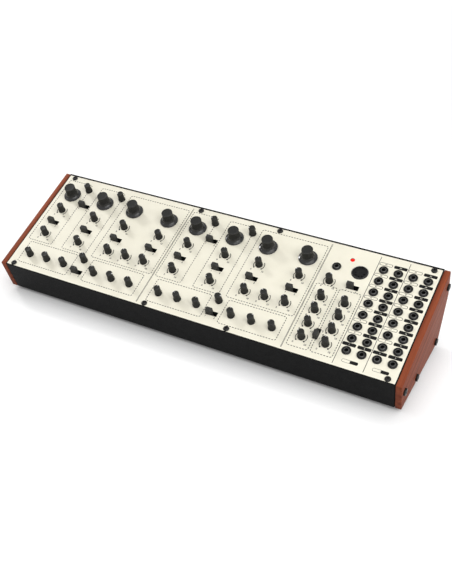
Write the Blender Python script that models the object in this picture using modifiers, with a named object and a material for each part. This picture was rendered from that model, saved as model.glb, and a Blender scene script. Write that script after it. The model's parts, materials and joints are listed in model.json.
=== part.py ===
"""Desktop two-voice analog synthesizer module.

A cream control panel lies tilted in a folded black steel tray between two wooden cheeks. Behind the
panel a control board carries the rotary and slide controls, a jack board carries the patch sockets,
and a main board carries the sound circuits and the rear connectors.

Almost everything is placed in the panel's own frame, in millimetres: x runs to the right and y up
along the panel from its lower left corner, and z stands out of the panel's front surface.
"""

import math

import bmesh
import bpy
from mathutils import Matrix, Vector

MM = 0.001

# Case and panel, in millimetres and degrees
TILT = 21.5
PANEL_H = 128.5
PANEL_T = 2.0
SHEET = 1.0
FRONT_FACE = 36.3
REAR_UPPER = 34.0
REAR_FOOT_Y = 104.0
RAIL_W = 7.5
CHEEK_T = 5.8
CHEEK_ROUND = 0.8
FOOT_H = 4.0
FOOT_R = 6.0
FOOT_INSET_X = 22.0
FOOT_INSET_Y = 14.0

# Clearances, and how far joined shapes reach into each other
GAP = 0.3
SHAFT_CLEARANCE = 0.3
SLIDE_CLEARANCE = 0.3
INTO = 1.0

# Rotary controls
SMALL_KNOB_R = 3.2
SMALL_KNOB_H = 9.4
SMALL_KNOB_CHAMFER = 0.4
DIAL_SKIRT_R = 9.15
DIAL_SKIRT_T = 0.8
DIAL_CONE_H = 3.4
DIAL_GRIP_R = 5.7
DIAL_TOP_R = 5.6
DIAL_CHAMFER = 0.6
DIAL_H = 12.6
POT_SIZE = 9.6
POT_H = 6.8
POT_FLOOR = 2.0

# Slide switches
CAP_L = 6.4
CAP_W = 3.5
CAP_H = 6.2
CAP_ROUND = 0.7
SLOT_L = 11.4
SWITCH_WALL = 1.0
SWITCH_H = 7.6
SWITCH_FLOOR = 4.0

# Patch sockets, phones socket, round socket and lamp
JACK_BODY_X = 9.0
JACK_BODY_Y = 10.4
JACK_BUSH_R = 2.9
JACK_NUT_R = 4.3
JACK_NUT_H = 1.5
JACK_BORE_R = 1.8
JACK_BORE_DEPTH = 9.0
MIDI_BODY_X = 18.0
MIDI_BODY_Y = 19.0
MIDI_R = 7.5
MIDI_H = 1.0
MIDI_RIM = 0.9
MIDI_RECESS = 2.0
MIDI_PIN_R = 0.8
MIDI_PIN_CIRCLE = 4.0
MIDI_PIN_DEPTH = 5.0
MIDI_PINS = 5
LED_R = 1.6
LED_H = 1.6
LED_CROWN = ((0.6, 0.85), (1.0, 0.4))
LED_SPACER_R = 1.9

# Screws
PANEL_SCREW_HEAD_R = 2.85
PANEL_SCREW_HEAD_H = 1.3
PANEL_SCREW_R = 1.25
PANEL_SCREW_L = 6.0
PANEL_SCREW_INSET = 3.0
CHEEK_SCREW_HEAD_R = 3.0
CHEEK_SCREW_HEAD_H = 2.0
CHEEK_SCREW_R = 1.5
CHEEK_SCREW_L = 6.0
CHEEK_SCREW_TOP_INSET = 5.2
CHEEK_SCREW_DEPTH = 15.5
CHEEK_SCREW_MIDDLE = 39.0
CHEEK_SCREW_REAR_INSET = 8.0
CHEEK_SCREW_RISE = 8.5

# Boards and what stands on the main board
BOARD_T = 1.6
CONTROL_BOARD_DEPTH = 12.0
MAIN_BOARD_DEPTH = 26.0
BOARD_INSET_X = 3.0
BOARD_INSET_Y = 8.5
BOARD_SPLIT = 6.5
STANDOFF_R = 2.2
STANDOFF_FROM_VOICE = 2.4
STANDOFF_FROM_MASTER = 0.6
STANDOFF_INSET_LEFT = 3.0
STANDOFF_INSET_RIGHT = 4.3
STANDOFF_END_ROWS = (40.0, 74.0)
JACK_BOARD_MARGIN = 0.5
MAIN_BOARD_INSET = 10.0
MAIN_BOARD_REAR = 3.0
HEADER_SIZE = (24.0, 5.0)
HEADER_Y = 30.0
HEADER_OFFSETS = (22.0, 20.0, 20.0)
CHIP_SIZE = (10.0, 6.2, 2.2)
CHIP_Y = 62.0
CHIP_COUNT = 8
CHIP_PITCH = 36.0
CAPACITOR_R = 3.2
CAPACITOR_H = 7.5
CAPACITOR_Y = 88.0
CAPACITOR_COUNT = 10
CAPACITOR_PITCH = 30.0
FIRST_CHIP_X = 40.0

# Rear connectors and power switch
SOCKET_H = 11.0
SOCKET_L = 13.6
SOCKET_PROUD = 0.6
POWER_X = 60.0
POWER_BODY_X = 12.0
SWITCH_FOOT_L = 8.0
ROCKER_R = 4.4
ROCKER_L = 8.4
ROCKER_THROW = 20.0
ROCKER_CORNER = 60.0
ROCKER_HOLLOW = 0.8
ROCKER_ARC_STEPS = 8
ROCKER_SUNK = 1.8
DC_X = 84.0
DC_BODY_X = 9.5
DC_BORE_R = 3.2
DC_PIN_R = 1.0
DC_DEPTH = 9.0
USB_X = 106.0
USB_BODY_X = 12.0
USB_PORT = (8.4, 7.6)
USB_TONGUE = (5.4, 2.6)
USB_DEPTH = 8.5

# Columns and rows of the controls
VOICE_PITCH = 150.2
COLUMN_1 = 18.5
COLUMN_4 = 95.2
COLUMN_PITCH = 20.4
FINE_OFFSET = 14.0
DIAL_OFFSET = -0.4
SWITCH_OFFSET = -0.3
ROW_TOP = 114.0
ROW_DIAL = 103.0
ROW_SYNC = 93.2
ROW_MID = 80.5
ROW_SWITCH = 63.6
ROW_LOW = 47.3
ROW_GLIDE = 29.1
ROW_ENVELOPE = 17.8
ROW_MODE = 14.1
GLIDE_X = 77.4
MODE_X = 77.0
MASTER_GAP = 0.8
MASTER_WIDTH = 55.3
MASTER_1 = 13.5
MASTER_2 = 36.1
MASTER_ROWS = (64.1, 48.9, 33.1, 17.8)
ROW_VOLUME = 83.8
ROW_SOCKETS = 102.0
LED_X = 24.6
UPRIGHT_X = 24.8
UPRIGHT_Y = 25.7
JACK_COLUMNS = 4
JACK_ROWS = 8
JACK_COLUMN_PITCH = 13.8
JACK_ROW_PITCH = 13.35
JACK_ROW_1 = 17.9
PANEL_RIGHT_MARGIN = 49.9
END_SCREW_X = 7.5
MIDDLE_SCREWS_X = (10.8, 97.3)

# Polygon counts
KNOB_SIDES = 10
DIAL_SIDES = 12
HOLE_SIDES = 8
ROUND_SIDES = 12
HEX = 6

# Values that follow from the ones above
MASTER_X = 2 * VOICE_PITCH + MASTER_GAP
JACKS_X = MASTER_X + MASTER_WIDTH
PANEL_W = JACKS_X + PANEL_RIGHT_MARGIN
EDGE = GAP + SHEET
REAR_Y = PANEL_H + EDGE
UNDER_PANEL = -PANEL_T - GAP
SLOT_W = CAP_W + 2 * SLIDE_CLEARANCE
TRAVEL = SLOT_L - CAP_L - 2 * SLIDE_CLEARANCE
BOARD_Z = -CONTROL_BOARD_DEPTH
POT_TOP = BOARD_Z + POT_H
SHAFT_END = BOARD_Z + POT_FLOOR + GAP
SWITCH_TOP = BOARD_Z + SWITCH_H
CAP_END = BOARD_Z + SWITCH_FLOOR + GAP
MAIN_Z = -MAIN_BOARD_DEPTH
SOCKET_MIDDLE = MAIN_Z + GAP + SOCKET_H / 2
ROCKER_Y = REAR_Y - ROCKER_SUNK
PHONES_AT = (MASTER_X + MASTER_1, ROW_SOCKETS)
MIDI_AT = (MASTER_X + MASTER_2, ROW_SOCKETS)
LED_AT = (MASTER_X + LED_X, ROW_TOP)
SIN, COS, TAN = (ratio(math.radians(TILT)) for ratio in (math.sin, math.cos, math.tan))

# The panel's origin in the object's frame: the case's bottom lies level, centred over the feet
ORIGIN_X = -PANEL_W / 2
ORIGIN_Y = (EDGE * COS - REAR_Y * COS - REAR_UPPER * SIN) / 2
ORIGIN_Z = FOOT_H + FRONT_FACE * COS + EDGE * SIN


def remove_everything():
    for item in list(bpy.data.objects):
        bpy.data.objects.remove(item, do_unlink=True)


def collection(name):
    made = bpy.data.collections.new(name)
    bpy.context.scene.collection.children.link(made)
    return made


def material(name, color, roughness, metallic=0.0):
    made = bpy.data.materials.new(name)
    made.use_nodes = True
    shader = made.node_tree.nodes["Principled BSDF"]
    shader.inputs["Base Color"].default_value = (*color, 1.0)
    shader.inputs["Roughness"].default_value = roughness
    shader.inputs["Metallic"].default_value = metallic
    made.diffuse_color = (*color, 1.0)
    return made


remove_everything()
PARTS = collection("analog_synthesizer_module")
CUTTERS = collection("cutters")
FRAME = bpy.data.objects.new("panel_frame", None)
CUTTERS.objects.link(FRAME)
FRAME.location = Vector((ORIGIN_X, ORIGIN_Y, ORIGIN_Z)) * MM
FRAME.rotation_euler = (math.radians(TILT), 0, 0)

CREAM = material("panel_cream", (0.80, 0.76, 0.64), 0.45)
BLACK_STEEL = material("black_steel", (0.018, 0.018, 0.018), 0.55, 0.3)
WOOD = material("reddish_wood", (0.30, 0.075, 0.035), 0.5)
BLACK_PLASTIC = material("black_plastic", (0.022, 0.022, 0.021), 0.4)
BOARD_GREEN = material("board_green", (0.02, 0.12, 0.05), 0.5)
DARK_SOCKET = material("dark_socket", (0.05, 0.05, 0.05), 0.3, 0.5)
RED_LENS = material("red_lens", (0.7, 0.01, 0.01), 0.2)
RUBBER = material("black_rubber", (0.015, 0.015, 0.015), 0.8)


def mesh_of(bm, name):
    """Turns a bmesh drawn in millimetres into a mesh in metres."""
    bmesh.ops.scale(bm, vec=(MM, MM, MM), verts=bm.verts)
    bmesh.ops.recalc_face_normals(bm, faces=bm.faces)
    mesh = bpy.data.meshes.new(name)
    bm.to_mesh(mesh)
    bm.free()
    return mesh


def place(name, data, mat, at=(0, 0, 0), parent=FRAME):
    """Makes a part of a mesh or curve and stands it at a point of its parent, in millimetres."""
    made = bpy.data.objects.new(name, data)
    PARTS.objects.link(made)
    made.parent = parent
    made.location = Vector(at) * MM
    data.materials.append(mat)
    return made


def solid(name, mat, draw, at=(0, 0, 0), parent=FRAME):
    """Makes a part of the shapes that a function draws."""
    bm = bmesh.new()
    draw(bm)
    return place(name, mesh_of(bm, name), mat, at, parent)


def combine(target, operation, name, draw):
    """Joins or cuts a part of the panel's frame with the shapes that a function draws."""
    bm = bmesh.new()
    draw(bm)
    tool = bpy.data.objects.new(name, mesh_of(bm, name))
    CUTTERS.objects.link(tool)
    tool.parent = FRAME
    tool.hide_render = True
    tool.display_type = "WIRE"
    change = target.modifiers.new(name, "BOOLEAN")
    change.operation = operation
    change.solver = "EXACT"
    change.object = tool


def turned(name, profile, mat, sides, at):
    """Turns a profile of (radius, z) points, from the top down, round an axis square to the panel."""
    mesh = bpy.data.meshes.new(name)
    points = [(radius * MM, 0, z * MM) for radius, z in profile]
    mesh.from_pydata(points, [(i, i + 1) for i in range(len(points) - 1)], [])
    made = place(name, mesh, mat, (*at, 0))
    screw = made.modifiers.new("turn", "SCREW")
    screw.steps = screw.render_steps = sides
    screw.use_merge_vertices = True
    screw.merge_threshold = 0.00001
    screw.use_smooth_shade = True
    return made


def round_edges(target, width):
    bevel = target.modifiers.new("rounded", "BEVEL")
    bevel.width = width * MM
    bevel.segments = 1
    bevel.limit_method = "ANGLE"


def span(centre, size):
    return (centre - size / 2, centre + size / 2)


def add_box(bm, x, y, z):
    """Adds a box between the low and high value of each axis."""
    low, high = Vector((x[0], y[0], z[0])), Vector((x[1], y[1], z[1]))
    size = Matrix.Diagonal((*(high - low), 1))
    bmesh.ops.create_cube(bm, size=1, matrix=Matrix.Translation((low + high) / 2) @ size)


def add_block(bm, at, size_x, size_y, z):
    """Adds a box centred on a point of the panel."""
    add_box(bm, span(at[0], size_x), span(at[1], size_y), z)


def add_rod(bm, at, radius, z, sides=HOLE_SIDES):
    """Adds a cylinder square to the panel, between two values of z, with a flat side along x."""
    where = Matrix.Translation((at[0], at[1], (z[0] + z[1]) / 2)) @ Matrix.Rotation(math.pi / sides, 4, "Z")
    bmesh.ops.create_cone(
        bm, cap_ends=True, segments=sides, radius1=radius, radius2=radius, depth=z[1] - z[0], matrix=where
    )


def add_rod_along(bm, axis, centre, radius, length, sides=HOLE_SIDES):
    """Adds a cylinder along the x or the y axis, centred on a point."""
    turn = Matrix.Rotation(math.pi / 2, 4, "Y" if axis == "x" else "X")
    bmesh.ops.create_cone(
        bm, cap_ends=True, segments=sides, radius1=radius, radius2=radius, depth=length,
        matrix=Matrix.Translation(centre) @ turn,
    )


def add_prism(bm, outline, x):
    """Adds a solid along x whose section is an outline of (y, z) points."""
    section = bm.faces.new([bm.verts.new((x[0], y, z)) for y, z in outline])
    grown = bmesh.ops.extrude_face_region(bm, geom=[section])
    moved = [item for item in grown["geom"] if isinstance(item, bmesh.types.BMVert)]
    bmesh.ops.translate(bm, vec=(x[1] - x[0], 0, 0), verts=moved)


def around(radius, clearance, sides=HOLE_SIDES):
    """Corner radius of a hole whose flat sides keep a clearance to a round shaft."""
    return (radius + clearance) / math.cos(math.pi / sides)


def circle(at, radius, sides=HOLE_SIDES):
    """Corners of a flat-sided circle, one side facing along x."""
    turns = [math.tau * (i + 0.5) / sides for i in range(sides)]
    return [(at[0] + radius * math.cos(a), at[1] + radius * math.sin(a)) for a in turns]


def rectangle(at, size_x, size_y):
    return [(at[0] + i * size_x / 2, at[1] + j * size_y / 2) for i, j in ((-1, -1), (1, -1), (1, 1), (-1, 1))]


def case_outline():
    """Side view of the case as (y, z) points, from the front's top edge round the bottom to the rear's."""
    rear_bottom = -FRONT_FACE - (REAR_FOOT_Y + EDGE) * TAN
    return [(-EDGE, 0), (-EDGE, -FRONT_FACE), (REAR_FOOT_Y, rear_bottom), (REAR_Y, -REAR_UPPER), (REAR_Y, 0)]


def voice_controls(number):
    """Every control of one voice: name, kind and place on the panel."""
    left = (number - 1) * VOICE_PITCH
    one, two, three = (left + COLUMN_1 + i * COLUMN_PITCH for i in range(3))
    four, five, six = (left + COLUMN_4 + i * COLUMN_PITCH for i in range(3))
    knobs = {
        "oscillator_a_fine": (one + FINE_OFFSET, ROW_TOP),
        "oscillator_b_fine": (three + FINE_OFFSET, ROW_TOP),
        "oscillator_a_mod": (one, ROW_MID),
        "oscillator_b_mod": (three, ROW_MID),
        "filter_envelope": (four, ROW_MID),
        "filter_tracking": (six, ROW_MID),
        "oscillator_a_width": (one, ROW_LOW),
        "oscillator_b_width": (three, ROW_LOW),
        "mixer_a": (four, ROW_LOW),
        "mixer_b": (five, ROW_LOW),
        "mixer_noise": (six, ROW_LOW),
        "glide": (left + GLIDE_X, ROW_GLIDE),
        "envelope_a_attack": (one, ROW_ENVELOPE),
        "envelope_a_decay": (two, ROW_ENVELOPE),
        "envelope_a_sustain": (three, ROW_ENVELOPE),
        "envelope_b_attack": (four, ROW_ENVELOPE),
        "envelope_b_decay": (five, ROW_ENVELOPE),
        "envelope_b_sustain": (six, ROW_ENVELOPE),
    }
    dials = {
        "oscillator_a_tune": (one + DIAL_OFFSET, ROW_DIAL),
        "oscillator_b_tune": (three + DIAL_OFFSET, ROW_DIAL),
        "filter_cutoff": (four + DIAL_OFFSET, ROW_DIAL),
        "filter_resonance": (six + DIAL_OFFSET, ROW_DIAL),
    }
    switches = {
        "sync": (two + SWITCH_OFFSET, ROW_SYNC),
        "oscillator_a_wave": (one + SWITCH_OFFSET, ROW_SWITCH),
        "oscillator_b_wave": (three + SWITCH_OFFSET, ROW_SWITCH),
        "filter_mode": (four + SWITCH_OFFSET, ROW_SWITCH),
        "filter_range": (six + SWITCH_OFFSET, ROW_SWITCH),
        "envelope_mode": (left + MODE_X, ROW_MODE),
    }
    voice = f"voice{number}"
    found = [(f"{voice}_{name}_knob", "knob", at) for name, at in knobs.items()]
    found += [(f"{voice}_{name}_dial", "dial", at) for name, at in dials.items()]
    found += [(f"{voice}_{name}_switch", "switch", at) for name, at in switches.items()]
    return found


def master_controls():
    """The controls of the section between the voices and the patch sockets."""
    first, second = MASTER_X + MASTER_1, MASTER_X + MASTER_2
    columns = {
        first: ("lfo_a_rate", "lfo_a_depth", "lfo_a_delay", "noise_color"),
        second: ("lfo_b_rate", "lfo_b_depth", "lfo_b_delay", "voice_balance"),
    }
    found = [("volume_knob", "knob", (first, ROW_VOLUME))]
    for x, names in columns.items():
        found += [(f"{name}_knob", "knob", (x, y)) for name, y in zip(names, MASTER_ROWS)]
    found.append(("voice_mode_switch", "switch", (second + SWITCH_OFFSET, ROW_VOLUME)))
    found.append(("lfo_shape_switch", "upright_switch", (MASTER_X + UPRIGHT_X, UPRIGHT_Y)))
    return found


CONTROLS = voice_controls(1) + voice_controls(2) + master_controls()


def moves(name, kind):
    """The second voice's small controls don't move: they are one piece with their board."""
    return kind == "dial" or not name.startswith("voice2")


def jack_places():
    return [
        (JACKS_X + i * JACK_COLUMN_PITCH, JACK_ROW_1 + j * JACK_ROW_PITCH)
        for i in range(JACK_COLUMNS)
        for j in range(JACK_ROWS)
    ]


def screw_places():
    """Centres of the eight panel screws."""
    columns = [END_SCREW_X, *(VOICE_PITCH + x for x in MIDDLE_SCREWS_X), PANEL_W - END_SCREW_X]
    return [(x, y) for x in columns for y in (PANEL_SCREW_INSET, PANEL_H - PANEL_SCREW_INSET)]


def cheek_screw_places():
    """Centres of one cheek's screws as (y, z), each set in from an edge of the side view."""

    def bottom(y):
        return -FRONT_FACE - (y + EDGE) * TAN

    rear = REAR_FOOT_Y - CHEEK_SCREW_REAR_INSET
    return [
        (CHEEK_SCREW_TOP_INSET, -CHEEK_SCREW_DEPTH),
        (PANEL_H - CHEEK_SCREW_TOP_INSET, -CHEEK_SCREW_DEPTH),
        (CHEEK_SCREW_MIDDLE, bottom(CHEEK_SCREW_MIDDLE) + CHEEK_SCREW_RISE),
        (rear, bottom(rear) + CHEEK_SCREW_RISE),
    ]


def panel_openings():
    """Outline of every hole through the panel."""
    found = []
    for _, kind, at in CONTROLS:
        if kind == "switch":
            found.append(rectangle(at, SLOT_L, SLOT_W))
        elif kind == "upright_switch":
            found.append(rectangle(at, SLOT_W, SLOT_L))
        else:
            found.append(circle(at, around(SMALL_KNOB_R, SHAFT_CLEARANCE)))
    found += [circle(at, around(JACK_BUSH_R, GAP)) for at in [*jack_places(), PHONES_AT]]
    found += [circle(at, around(PANEL_SCREW_R, GAP)) for at in screw_places()]
    found.append(circle(MIDI_AT, around(MIDI_R, GAP, ROUND_SIDES), ROUND_SIDES))
    found.append(circle(LED_AT, around(LED_SPACER_R, GAP)))
    return found


def make_panel():
    """A flat plate: its outline and every opening are splines of one filled curve."""
    curve = bpy.data.curves.new("front_panel", "CURVE")
    curve.dimensions = "2D"
    curve.fill_mode = "BOTH"
    curve.extrude = PANEL_T / 2 * MM
    centre = (PANEL_W / 2, PANEL_H / 2)
    for outline in [rectangle(centre, PANEL_W, PANEL_H), *panel_openings()]:
        spline = curve.splines.new("POLY")
        spline.points.add(len(outline) - 1)
        spline.use_cyclic_u = True
        for point, (x, y) in zip(spline.points, outline):
            point.co = (x * MM, y * MM, 0, 1)
    place("front_panel", curve, CREAM, (0, 0, -PANEL_T / 2))


def make_case():
    """Folded tray, open at the top, with two rails that carry the panel's edges and its screws.

    The panel lies between the front and rear walls and over the lower end walls.
    """
    ends = (-GAP, PANEL_W + GAP)
    walls = (ends[0] + SHEET / 2, ends[1] - SHEET / 2)

    def tray(bm):
        add_prism(bm, case_outline(), ends)
        top = max(bm.faces, key=lambda face: face.calc_center_median().z)
        bmesh.ops.delete(bm, geom=[top], context="FACES_ONLY")

    def panel_seat(bm):
        add_box(bm, (ends[0] - SHEET, ends[1] + SHEET), (-GAP, PANEL_H + GAP), (UNDER_PANEL, SHEET))

    def rails(bm):
        for y in ((-EDGE + SHEET / 2, RAIL_W), (PANEL_H - RAIL_W, REAR_Y - SHEET / 2)):
            add_box(bm, walls, y, (UNDER_PANEL - SHEET, UNDER_PANEL))

    def threads(bm):
        for at in screw_places():
            add_rod(bm, at, PANEL_SCREW_R, (-PANEL_SCREW_L, GAP + PANEL_SCREW_HEAD_H / 2))

    def heads(bm):
        for at in screw_places():
            add_rod(bm, at, PANEL_SCREW_HEAD_R, (GAP, GAP + PANEL_SCREW_HEAD_H), ROUND_SIDES)

    def holes(bm):
        for y, z in cheek_screw_places():
            for x in walls:
                add_rod_along(bm, "x", (x, y, z), around(CHEEK_SCREW_R, GAP), 4 * SHEET)
        for centre, width in ((POWER_X, POWER_BODY_X), (DC_X, DC_BODY_X), (USB_X, USB_BODY_X)):
            through = (REAR_Y - 2 * SHEET, REAR_Y + SHEET)
            add_box(bm, span(centre, width + 2 * GAP), through, span(SOCKET_MIDDLE, SOCKET_H + 2 * GAP))

    case = solid("case_shell", BLACK_STEEL, tray)
    wall = case.modifiers.new("wall", "SOLIDIFY")
    wall.thickness = SHEET * MM
    wall.offset = -1
    wall.use_even_offset = True
    combine(case, "DIFFERENCE", "panel_seat", panel_seat)
    combine(case, "UNION", "case_rails", rails)
    combine(case, "UNION", "panel_screw_threads", threads)
    combine(case, "UNION", "panel_screw_heads", heads)
    combine(case, "DIFFERENCE", "case_holes", holes)


def make_cheek(name, inner, sign):
    """Wooden end cheek, with four cap screws that reach through the case's end wall."""
    outer = inner + sign * CHEEK_T

    def heads(bm):
        height = CHEEK_SCREW_HEAD_H + INTO
        middle = outer + sign * (height / 2 - INTO)
        for y, z in cheek_screw_places():
            add_rod_along(bm, "x", (middle, y, z), CHEEK_SCREW_HEAD_R, height, ROUND_SIDES)

    def threads(bm):
        length = CHEEK_SCREW_L + INTO
        middle = inner + sign * (INTO - length / 2)
        for y, z in cheek_screw_places():
            add_rod_along(bm, "x", (middle, y, z), CHEEK_SCREW_R, length)

    cheek = solid(name, WOOD, lambda bm: add_prism(bm, case_outline(), (inner, outer)))
    round_edges(cheek, CHEEK_ROUND)
    combine(cheek, "UNION", f"{name}_screw_heads", heads)
    combine(cheek, "UNION", f"{name}_screw_threads", threads)


def make_feet():
    """Four rubber feet under the bottom sheet, which lies level."""
    level = [ORIGIN_Y + y * COS - z * SIN for y, z in case_outline()[1:3]]
    rows = {"front": level[0] + FOOT_INSET_Y, "rear": level[1] - FOOT_INSET_Y}
    columns = {"left": ORIGIN_X + FOOT_INSET_X, "right": -ORIGIN_X - FOOT_INSET_X}
    for end, y in rows.items():
        for side, x in columns.items():
            solid(
                f"foot_{end}_{side}",
                RUBBER,
                lambda bm: add_rod(bm, (0, 0), FOOT_R, (0, FOOT_H - GAP), ROUND_SIDES),
                at=(x, y, 0),
                parent=None,
            )


def standoff_places():
    """Posts between the control board and the panel: along the section lines and near the ends."""
    sections = (VOICE_PITCH + STANDOFF_FROM_VOICE, MASTER_X + STANDOFF_FROM_MASTER)
    ends = (BOARD_INSET_X + STANDOFF_INSET_LEFT, JACKS_X - BOARD_SPLIT - STANDOFF_INSET_RIGHT)
    rows = (ROW_ENVELOPE, (ROW_SWITCH + ROW_MID) / 2, ROW_TOP)
    return [(x, y) for x in sections for y in rows] + [(x, y) for x in ends for y in STANDOFF_END_ROWS]


def make_control_board():
    """Board behind the voices and the master section, with the pots and slide switches soldered on."""
    edge = (BOARD_INSET_X, JACKS_X - BOARD_SPLIT)

    def board(bm):
        add_box(bm, edge, (BOARD_INSET_Y, PANEL_H - BOARD_INSET_Y), (BOARD_Z - BOARD_T, BOARD_Z))

    def bodies(bm):
        long, short = SLOT_L + 2 * SWITCH_WALL, SLOT_W + 2 * SWITCH_WALL
        for _, kind, at in CONTROLS:
            if kind == "switch":
                add_block(bm, at, long, short, (BOARD_Z - INTO, SWITCH_TOP))
            elif kind == "upright_switch":
                add_block(bm, at, short, long, (BOARD_Z - INTO, SWITCH_TOP))
            else:
                add_block(bm, at, POT_SIZE, POT_SIZE, (BOARD_Z - INTO, POT_TOP))
        for at in standoff_places():
            add_rod(bm, at, STANDOFF_R, (BOARD_Z - INTO, UNDER_PANEL), HEX)

    def bores(bm):
        for name, kind, at in CONTROLS:
            if not moves(name, kind):
                continue
            if kind == "switch":
                add_block(bm, at, SLOT_L, SLOT_W, (BOARD_Z + SWITCH_FLOOR, SWITCH_TOP + INTO))
            elif kind == "upright_switch":
                add_block(bm, at, SLOT_W, SLOT_L, (BOARD_Z + SWITCH_FLOOR, SWITCH_TOP + INTO))
            else:
                add_rod(bm, at, around(SMALL_KNOB_R, SHAFT_CLEARANCE), (BOARD_Z + POT_FLOOR, POT_TOP + INTO))

    def fixed_controls(bm):
        for name, kind, at in CONTROLS:
            if moves(name, kind):
                continue
            if kind == "knob":
                add_rod(bm, at, SMALL_KNOB_R, (POT_TOP - INTO, SMALL_KNOB_H), KNOB_SIDES)
            else:
                add_block(bm, (at[0] - TRAVEL / 2, at[1]), CAP_L, CAP_W, (SWITCH_TOP - INTO, CAP_H))

    made = solid("control_board", BOARD_GREEN, board)
    combine(made, "UNION", "pot_and_switch_bodies", bodies)
    combine(made, "DIFFERENCE", "shaft_bores", bores)
    combine(made, "UNION", "second_voice_controls", fixed_controls)


def add_jack_body(bm, at):
    add_block(bm, at, JACK_BODY_X, JACK_BODY_Y, (BOARD_Z - INTO, UNDER_PANEL))


def add_jack_bush(bm, at):
    add_rod(bm, at, JACK_BUSH_R, (UNDER_PANEL - INTO, GAP + JACK_NUT_H / 2))


def add_jack_nut(bm, at):
    add_rod(bm, at, JACK_NUT_R, (GAP, GAP + JACK_NUT_H), KNOB_SIDES)


def add_jack_bore(bm, at):
    top = GAP + JACK_NUT_H
    add_rod(bm, at, JACK_BORE_R, (top - JACK_BORE_DEPTH, top + INTO), HEX)


def each(places, draw):
    """A function that draws one shape at every place."""

    def build(bm):
        for at in places:
            draw(bm, at)

    return build


def finish_jacks(made, places):
    """Adds the bushes and nuts that reach through the panel, and bores them."""
    combine(made, "UNION", f"{made.name}_bushes", each(places, add_jack_bush))
    combine(made, "UNION", f"{made.name}_nuts", each(places, add_jack_nut))
    combine(made, "DIFFERENCE", f"{made.name}_bores", each(places, add_jack_bore))


def make_jack_board():
    """A board with the patch sockets, whose nuts hold it to the panel."""
    left = JACKS_X - JACK_BODY_X / 2 - JACK_BOARD_MARGIN
    right = JACKS_X + (JACK_COLUMNS - 1) * JACK_COLUMN_PITCH + JACK_BODY_X / 2 + JACK_BOARD_MARGIN
    edge = (BOARD_INSET_Y, PANEL_H - BOARD_INSET_Y)
    thick = (BOARD_Z - BOARD_T, BOARD_Z)
    made = solid("jack_board", BOARD_GREEN, lambda bm: add_box(bm, (left, right), edge, thick))
    combine(made, "UNION", "jack_board_bodies", each(jack_places(), add_jack_body))
    finish_jacks(made, jack_places())


def make_phones_socket():
    """Headphone socket, standing on the control board and clamped to the panel by its nut."""
    body = (BOARD_Z + GAP, UNDER_PANEL)
    made = solid("phones_socket", DARK_SOCKET, lambda bm: add_block(bm, PHONES_AT, JACK_BODY_X, JACK_BODY_Y, body))
    finish_jacks(made, [PHONES_AT])


def make_midi_socket():
    """Round five-pin socket: a square body under the panel and a collar through it."""
    floor = MIDI_H - MIDI_RECESS

    def collar(bm):
        add_rod(bm, MIDI_AT, MIDI_R, (UNDER_PANEL - INTO, MIDI_H), ROUND_SIDES)

    def recess(bm):
        add_rod(bm, MIDI_AT, MIDI_R - MIDI_RIM, (floor, MIDI_H + INTO), ROUND_SIDES)

    def pins(bm):
        for i in range(MIDI_PINS):
            turn = math.radians(180 + 180 * i / (MIDI_PINS - 1))
            x = MIDI_AT[0] + MIDI_PIN_CIRCLE * math.cos(turn)
            y = MIDI_AT[1] + MIDI_PIN_CIRCLE * math.sin(turn)
            add_rod(bm, (x, y), MIDI_PIN_R, (floor - MIDI_PIN_DEPTH, floor + INTO), HEX)

    body = (BOARD_Z + GAP, UNDER_PANEL)
    made = solid("midi_socket", DARK_SOCKET, lambda bm: add_block(bm, MIDI_AT, MIDI_BODY_X, MIDI_BODY_Y, body))
    combine(made, "UNION", "midi_collar", collar)
    combine(made, "DIFFERENCE", "midi_recess", recess)
    combine(made, "DIFFERENCE", "midi_pins", pins)


def make_led():
    """Red status lamp on a spacer that stands on the control board."""
    profile = [
        (0, LED_H),
        *((LED_R * across, LED_H * up) for across, up in LED_CROWN),
        (LED_R, 0),
        (LED_SPACER_R, -GAP),
        (LED_SPACER_R, BOARD_Z + GAP),
        (0, BOARD_Z + GAP),
    ]
    turned("status_led", profile, RED_LENS, HOLE_SIDES, LED_AT)


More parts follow.
